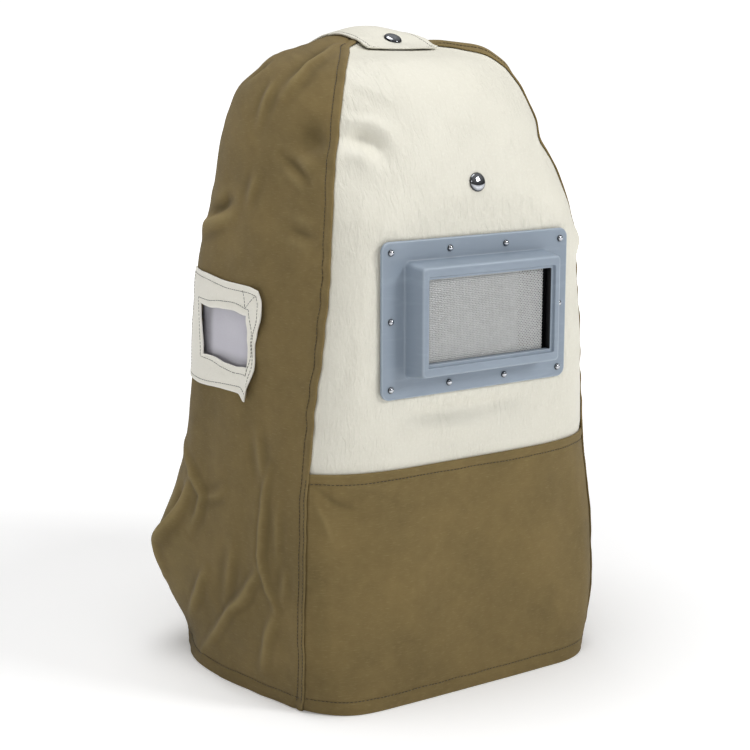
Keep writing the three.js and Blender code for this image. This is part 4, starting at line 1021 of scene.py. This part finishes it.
def side_film(side, name, seed):
    rows, columns = 34, 50
    p, q = np.meshgrid(np.linspace(0, 1, columns), np.linspace(0, 1, rows))
    place_x = PATCH_AROUND - 8 + (SIGHT_WIDE + 14) * (p - 0.5)
    height = SIGHT_MID_Z + (SIGHT_TALL + 14) * (q - 0.5)
    up = up_at(height)
    points, _ = cloth(side, front_at(up) + place_x, up, -1.9 + 0.35 * lattice_noise(place_x, height, 21, seed))
    # Painted shadow: darker towards the back edge and the bottom, a little at the front, for the shade of the
    # opening's edges
    painted_edge_shadow = np.clip(smooth(0.68, 0.8, p) * 0.85 + smooth(0.3, 0.12, q) * 0.6 + 0.2 * smooth(0.2, 0.05, p), 0, 1)
    made = mesh_object(f"film_{name}", points, grid_faces(rows, columns, flip=side == -1), FILM,
                       np.stack([place_x, height], -1), {"painted_edge_shadow": painted_edge_shadow})
    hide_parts(f"side_film_{name}")


for side, name, seed in ((-1, "right", 81), (1, "left", 131)):
    side_patch(side, name, seed)
    side_film(side, name, seed + 30)


# Window frame, mesh, glass and rivets

def rounded_ring(half_x, half_z, corner, y):
    steps = 8
    points = []
    for k, (sx, sz) in enumerate(((1, 1), (-1, 1), (-1, -1), (1, -1))):
        for step in range(steps + 1):
            turn = (k + step / steps) * math.pi / 2
            points.append((sx * (half_x - corner) + corner * math.cos(turn), y,
                           WINDOW_HEIGHT + sz * (half_z - corner) + corner * math.sin(turn)))
    return points


def bevelled(corner_from, corner_to, middle, steps=4):
    """Rows of a section's table round an edge: a curve from one row to another, bent at a middle row."""
    a, m, b = np.array(corner_from, float), np.array(middle, float), np.array(corner_to, float)
    return [tuple((1 - t) ** 2 * a + 2 * (1 - t) * t * m + t * t * b) for t in np.linspace(0, 1, steps + 1)]


def window_frame():
    """Rows: what the row lies round, its distance outside that, corner radius, y and worn-edge share."""
    flange, box, sight = (FLANGE_X, FLANGE_Z), (BOX_X, BOX_Z), (SIGHT_X, SIGHT_Z)
    top = (BOX_X - BOX_DRAFT, BOX_Z - BOX_DRAFT)
    step = (SIGHT_X + SIGHT_STEP, SIGHT_Z + SIGHT_STEP)
    face, bend = BOX_FRONT, FLANGE_CORNER

    def row(base, out, corner, y, rim=0):
        return base[0] + out, base[1] + out, corner, y, rim

    rows = [
        row(flange, -0.4, bend, FLANGE_BACK), row(flange, 0, bend, FLANGE_BACK - 0.4),
        *bevelled(row(flange, 0, bend, FLANGE_FRONT + 1.4), row(flange, -1.4, bend - 1.2, FLANGE_FRONT),
                  row(flange, 0, bend, FLANGE_FRONT, 1.6)),
        row(flange, -3, bend - 2, FLANGE_FRONT - 0.02), (BOX_X + 6, BOX_Z + 5, 7, FLANGE_FRONT - 0.02, 0),
        *bevelled(row(box, 1.8, 5.2, FLANGE_FRONT), row(box, -0.15, 4.2, FLANGE_FRONT - 2),
                  row(box, 0, 4.4, FLANGE_FRONT)),
        row(box, -1.2, 4, 0.5 * (FLANGE_FRONT + face)),
        *bevelled(row(top, 0, 3.8, face + 2.2), row(top, -2.2, 2.6, face), row(top, 0, 3.6, face, 1.3)),
        row(top, -4, 2.2, face),
        *bevelled(row(step, 0.6, 2.0, face), row(step, 0, 1.8, face + 0.7), row(step, 0, 1.8, face, 0.8), 3),
        row(step, -0.3, 1.7, face + 2.0),
        *bevelled(row(step, -0.5, 1.6, face + 2.5), row(sight, 0.5, 1.4, face + 2.7),
                  row(step, -0.8, 1.5, face + 2.7, 0.3), 2),
        *bevelled(row(sight, 0.5, 1.3, face + 2.7, 0.5), row(sight, 0, 1.2, face + 3.4),
                  row(sight, 0, 1.2, face + 2.7, 0.6), 2),
        row(sight, 0, 1.2, LIP_BACK - 0.2), row(sight, 0, 1.2, LIP_BACK),
        row(sight, POCKET_SEAT, 1.4, LIP_BACK), row(sight, POCKET_SEAT, 1.4, POCKET_BACK),
        row(sight, 0, 1.4, POCKET_BACK), row(sight, 0, 1.4, FLANGE_BACK),
    ]
    rings = np.array([rounded_ring(*row[:4]) for row in rows])
    count, around = rings.shape[:2]
    index = np.pad(np.arange(count * around).reshape(count, around), (0, 1), mode="wrap")
    rim = np.repeat(np.clip([[row[4]] for row in rows], 0, 1) * 0.55, around, 1)
    # Painted shadow: the lip's inner wall on the +x side is coloured near-black, for the deep shade between the
    # mesh's end and the lip
    inside = np.abs(rings[..., 0] - SIGHT_X - 1.5) < 2.1
    dark = inside & (rings[..., 1] > face + 3.1) & (rings[..., 1] < POCKET_BACK + 1)
    made = mesh_object("frame_moulding", rings, quads_of(index), PLASTIC, None, {"rim": rim, "dark": dark})
    made.data.set_sharp_from_angle(angle=math.radians(42))
    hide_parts("window_frame")


def turned_body(profile, sides, base, axis):
    """Rings about an axis. profile: rows of (distance along the axis, radius)."""
    axis = np.array(axis, float) / np.linalg.norm(axis)
    helper = np.array([0, 0, 1.0]) if abs(axis[2]) < 0.9 else np.array([1.0, 0, 0])
    u = np.cross(axis, helper)
    u /= np.linalg.norm(u)
    v = np.cross(axis, u)
    turns = np.arange(sides) * 2 * math.pi / sides
    circle = np.cos(turns)[:, None] * u + np.sin(turns)[:, None] * v
    rings = [base + axis * far + circle * max(radius, 0.01) for far, radius in profile]
    index = np.arange(len(rings) * sides).reshape(len(rings), sides)
    quads = quads_of(np.concatenate([index, index[:, :1]], 1))
    return np.array(rings).reshape(-1, 3), [quads, np.array([index[0][::-1], index[-1]])]


def dome_profile(head, dome, shank, grip):
    radius = head / 2
    rows = [(-grip - 1.1, 0.01), (-grip - 1.1, 0.4 * head), (-grip - 0.3, 0.4 * head), (-grip - 0.3, shank / 2),
            (0.15, shank / 2), (0.15, radius - 0.25), (0.3, radius), (0.55, radius)]
    for share in np.linspace(0, 1, 9):
        turn = share * math.pi / 2
        rows.append((0.55 + (dome - 0.35) * math.sin(turn), (radius - 0.12) * math.cos(turn) ** 0.92))
    return rows


def rivet(name, node, head, dome, shank, grip, base, axis, sides):
    points, faces = turned_body(dome_profile(head, dome, shank, grip), sides, np.asarray(base, float), axis)
    # Painted shadow: near-black on the shank and rim, fading out up the dome
    low_rows = np.concatenate([np.ones(8), np.exp(-((np.linspace(0, 1, 9) / 0.42) ** 2))])
    made = mesh_object(name, points, faces, STEEL, None, {"painted_rim_shadow": np.repeat(0.9 * low_rows, sides)})
    made.data.set_sharp_from_angle(angle=math.radians(50))
    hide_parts(node)


def wire_mesh():
    """Woven wires, tucked under the frame's lip but short of its edge painted dark as shadow, over and under each
    other.
    """
    pitch, radius = 1.5, 0.42
    tucked, short = 2.6, 3.8
    wide, tall = SIGHT_X + tucked, SIGHT_Z + tucked
    middle_y = LIP_BACK + 0.8
    xs = np.arange(-wide + 0.3, SIGHT_X - short, pitch)
    zs = np.arange(-tall + 0.3, tall, pitch)
    verts, quads = [], []
    start = 0
    for lines, stations, upright in ((xs, zs, True), (zs, xs, False)):
        stations = np.concatenate([stations - pitch / 2, [stations[-1] + pitch / 2]])
        parity = (np.arange(len(lines))[:, None] + np.arange(len(stations))[None, :]) % 2
        sway = (parity * 2 - 1) * (radius * 0.62) * (1 if upright else -1)
        for k in range(4):
            turn = math.pi / 4 + k * math.pi / 2
            a = radius * math.cos(turn) + lines[:, None] + 0 * sway
            y = middle_y + sway + radius * math.sin(turn)
            along = np.broadcast_to(stations[None, :], a.shape)
            grid = np.stack([a, y, WINDOW_HEIGHT + along] if upright else [along, y, WINDOW_HEIGHT + a], -1)
            verts.append(grid.reshape(-1, 3))
        count = len(lines) * len(stations)
        index = np.arange(count).reshape(len(lines), len(stations))
        for k in range(4):
            a = start + k * count + index
            b = start + ((k + 1) % 4) * count + index
            face = np.stack([a[:, :-1], a[:, 1:], b[:, 1:], b[:, :-1]], -1).reshape(-1, 4)
            quads.append(face if upright else face[:, ::-1])
        for end in (0, -1):
            caps = np.stack([start + k * count + index[:, end] for k in range(4)], -1)
            quads.append(caps)
        start += 4 * count
    made = mesh_object("woven_mesh", np.concatenate(verts), np.concatenate(quads), WIRE)
    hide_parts("window_mesh")


window_frame()
wire_mesh()
glass_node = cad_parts["window_glass"]
glass_node.data.materials.clear()
glass_node.data.materials.append(GLASS)

# Rivets: head, dome, shank and grip
SMALL_RIVET, FOREHEAD_RIVET, CROWN_RIVET = (5.6, 2.1, 2.8, 4.6), (16, 3.3, 4.4, 1.7), (16, 3.3, 4.4, 2.1)
SMALL_SIDES, CAP_SIDES = 24, 48
RIVET_X, RIVET_Z = FLANGE_X - 8.6, FLANGE_Z - 8.8
RIVET_ROW = [(-1, 1), (-0.33, 1), (0.33, 1), (1, 1), (1, 0), (1, -1), (0.33, -1), (-0.33, -1), (-1, -1), (-1, 0)]
for k, (x, z) in enumerate(RIVET_ROW):
    base = (x * RIVET_X, FLANGE_FRONT, WINDOW_HEIGHT + z * RIVET_Z)
    rivet(f"rivet_{k + 1}", f"frame_rivet_{k + 1}", *SMALL_RIVET, base, (0, -1, 0), SMALL_SIDES)

forehead_base, forehead_axis = cloth_line(1, [FOREHEAD_X], [float(up_at(FOREHEAD_Z))], -UNDER_FLANK)
rivet("rivet_forehead", "forehead_rivet", *FOREHEAD_RIVET, forehead_base[0], forehead_axis[0], CAP_SIDES)


# Crown strap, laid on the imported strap's own upper face

def strap():
    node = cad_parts["crown_strap"]
    tree = BVHTree.FromPolygons([v.co for v in node.data.vertices], [p.vertices for p in node.data.polygons])
    columns, rows = 61, 90
    half, inset, end_inset, rivet_room, smoothings = STRAP_WIDTH / 2, 0.4, 0.5, 6, 14
    xs = np.linspace(-half + inset, half - inset, columns)
    front = STRAP_FRONT_Y + end_inset + STRAP_SWEEP * (xs / half) ** 2
    back = STRAP_BACK_Y - end_inset
    share = np.linspace(0, 1, rows)[:, None]
    grid_x = np.repeat(xs[None], rows, 0)
    grid_y = front[None] + (back - front[None]) * share
    heights = np.zeros((rows, columns))
    for j in range(rows):
        for i in range(columns):
            spot = Vector(((grid_x[j, i] + SHIFT[0]) * MM, (grid_y[j, i] + SHIFT[1]) * MM, 1.0))
            hit = tree.ray_cast(spot, Vector((0, 0, -1)))
            heights[j, i] = hit[0].z / MM if hit[0] is not None else np.nan
    hole = np.isnan(heights) | (np.hypot(grid_x, grid_y - CROWN_RIVET_Y) < rivet_room)
    for j in range(rows):
        good = ~hole[j]
        heights[j] = np.interp(xs, xs[good], heights[j][good])
    for _ in range(smoothings):
        padded = np.pad(heights, 1, mode="reflect", reflect_type="odd")
        heights = (padded[1:-1, :-2] + padded[1:-1, 2:] + padded[:-2, 1:-1] + padded[2:, 1:-1]) / 8 + heights / 2
    side_far = xs[-1] - np.abs(grid_x)
    end_far = np.minimum(grid_y - front[None], back - grid_y)
    far = np.minimum(side_far, end_far)
    x = grid_x + np.sign(grid_x) * np.abs(grid_x / xs[-1]) ** 3 * wobble(grid_y, 18, 95)
    y = grid_y + (1 - share) ** 6 * 1.2 * wobble(grid_x, 17, 96)
    puff = 0.6 * bell(far, 2, 1.8) - 0.35 * bell(far, 4.6, 0.9)
    curl = 1.0 * bell(side_far, 0, 3) * (0.6 + 0.4 * wobble(grid_y, 22, 97))
    curl = curl * smooth(45, 15, grid_y) - 0.8 * smooth(35, 60, grid_y) * bell(side_far, 0, 5)
    flush = -1.8 * np.exp(-(((grid_y - front[None]) / 11) ** 2))
    z = heights + puff + curl + flush + 0.3 * lattice_noise(grid_x, grid_y, 14, 98)
    top = np.stack([x, y, z], -1)
    normal = np.cross(np.gradient(top, axis=1), np.gradient(top, axis=0))
    normal /= np.linalg.norm(normal, axis=-1, keepdims=True)
    thick = STRAP_THICK - 0.5 + puff * 0.4 + 0.4 * bell(side_far, 0, 4)
    bottom = top - normal * thick[..., None]
    uv = np.stack([grid_x, grid_y], -1)
    wear = np.concatenate([bell(far, 0, 1.0) * 0.7] * 2)
    made = mesh_object("leather_strap", np.concatenate([top, bottom]), shell_faces(rows, columns), LEATHER,
                       np.concatenate([uv, uv]), {"wear": wear, "crepe": wear * 0 + 0.2})
    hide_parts("crown_strap")
    whole, inner = slice(None), slice(4, -4)
    lines = [
        stitches(f"strap_stitch_{word}", top[line], normal[line], DARK_THREAD, pitch=3.2, seed=seed)
        for word, line, seed in (("right", (whole, 4), 11), ("left", (whole, -5), 63),
                                 ("front", (3, inner), 5), ("back", (-4, inner), 6))
    ]
    i = columns // 2
    j = int(np.argmin(np.abs(grid_y[:, i] - CROWN_RIVET_Y)))
    rivet("rivet_crown", "crown_rivet", *CROWN_RIVET, top[j, i] + normal[j, i] * 0.1, normal[j, i], CAP_SIDES)
    return made, lines


strap_piece, strap_lines = strap()


# Floor, lights and camera

FLOOR_HALF = 14.0
FLOOR_GLOW = 0.45, 1.8, 0.18, 1.0  # from and to which distance in metres it turns white, and how strongly
SKY_BAND = 0.1, 0.8, 0.08, 0.38  # from and to which height, and how strongly
HOOD_MIDDLE, HOOD_UPPER = (0.0, 0.0, 0.28), (0.0, 0.0, 0.4)
CAMERA_AT, CAMERA_TURN, CAMERA_TILT = (-835.07, -1198.02, 562.08), 34.14, 11.727
SENSOR_WIDTH, LENS = 36, 79.2


def floor():
    mesh = bpy.data.meshes.new("floor")
    corners = [(x * FLOOR_HALF, y * FLOOR_HALF, 0) for x, y in ((-1, -1), (1, -1), (1, 1), (-1, 1))]
    mesh.from_pydata(corners, [], [(0, 1, 2, 3)])
    obj = bpy.data.objects.new("floor", mesh)
    bpy.context.scene.collection.objects.link(obj)
    made, tree, shader = material("floor", base=(0.93, 0.93, 0.93, 1), roughness=0.7, specular=0.2)
    shader.inputs["Emission Color"].default_value = (1, 1, 1, 1)
    spot = add(tree, "ShaderNodeTexCoord").outputs["Object"]
    far = add(tree, "ShaderNodeVectorMath", {0: spot}, operation="LENGTH").outputs["Value"]
    tree.links.new(between(tree, far, *FLOOR_GLOW), shader.inputs["Emission Strength"])
    tree.links.new(between(tree, noise(tree, spot, 3.0), 0.3, 0.7, 0.62, 0.78), shader.inputs["Roughness"])
    mesh.materials.append(made)
    obj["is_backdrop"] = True


def area_light(name, place_at, aim, size, power):
    light = bpy.data.lights.new(name, "AREA")
    light.shape = "SQUARE"
    light.size = size
    light.energy = power
    obj = bpy.data.objects.new(name, light)
    obj.location = place_at
    obj.rotation_euler = (Vector(aim) - Vector(place_at)).to_track_quat("-Z", "Y").to_euler()
    bpy.context.scene.collection.objects.link(obj)


floor()
world = bpy.data.worlds.new("studio")
world.use_nodes = True
sky = world.node_tree
sky_spot = add(sky, "ShaderNodeTexCoord").outputs["Generated"]
sky_height = add(sky, "ShaderNodeSeparateXYZ", {0: sky_spot}).outputs["Z"]
sky_band = between(sky, sky_height, *SKY_BAND)
seen = add(sky, "ShaderNodeLightPath").outputs["Is Camera Ray"]
sky_power = maths(sky, "ADD", seen, sky_band)
sky.nodes["Background"].inputs["Color"].default_value = (1, 1, 1, 1)
sky.links.new(sky_power, sky.nodes["Background"].inputs["Strength"])
bpy.context.scene.world = world
bpy.context.scene.view_settings.view_transform = "Standard"
area_light("key", (1.15, -1.9, 1.35), HOOD_MIDDLE, 0.6, 23.5)
area_light("fill", (-1.35, -1.6, 1.15), HOOD_MIDDLE, 0.45, 3.2)
area_light("top", (-0.3, 0.0, 2.2), HOOD_UPPER, 1.2, 26)

turn, tilt = math.radians(CAMERA_TURN), math.radians(CAMERA_TILT)
look = Vector((math.sin(turn) * math.cos(tilt), math.cos(turn) * math.cos(tilt), -math.sin(tilt)))
camera_data = bpy.data.cameras.new("camera")
camera_data.sensor_width, camera_data.lens = SENSOR_WIDTH, LENS
camera_data.clip_start, camera_data.clip_end = 0.05, 50
camera = bpy.data.objects.new("camera", camera_data)
camera.location = Vector((np.array(CAMERA_AT) + SHIFT) * MM)
camera.rotation_euler = look.to_track_quat("-Z", "Y").to_euler()
bpy.context.scene.collection.objects.link(camera)
bpy.context.scene.camera = camera

low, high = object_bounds()
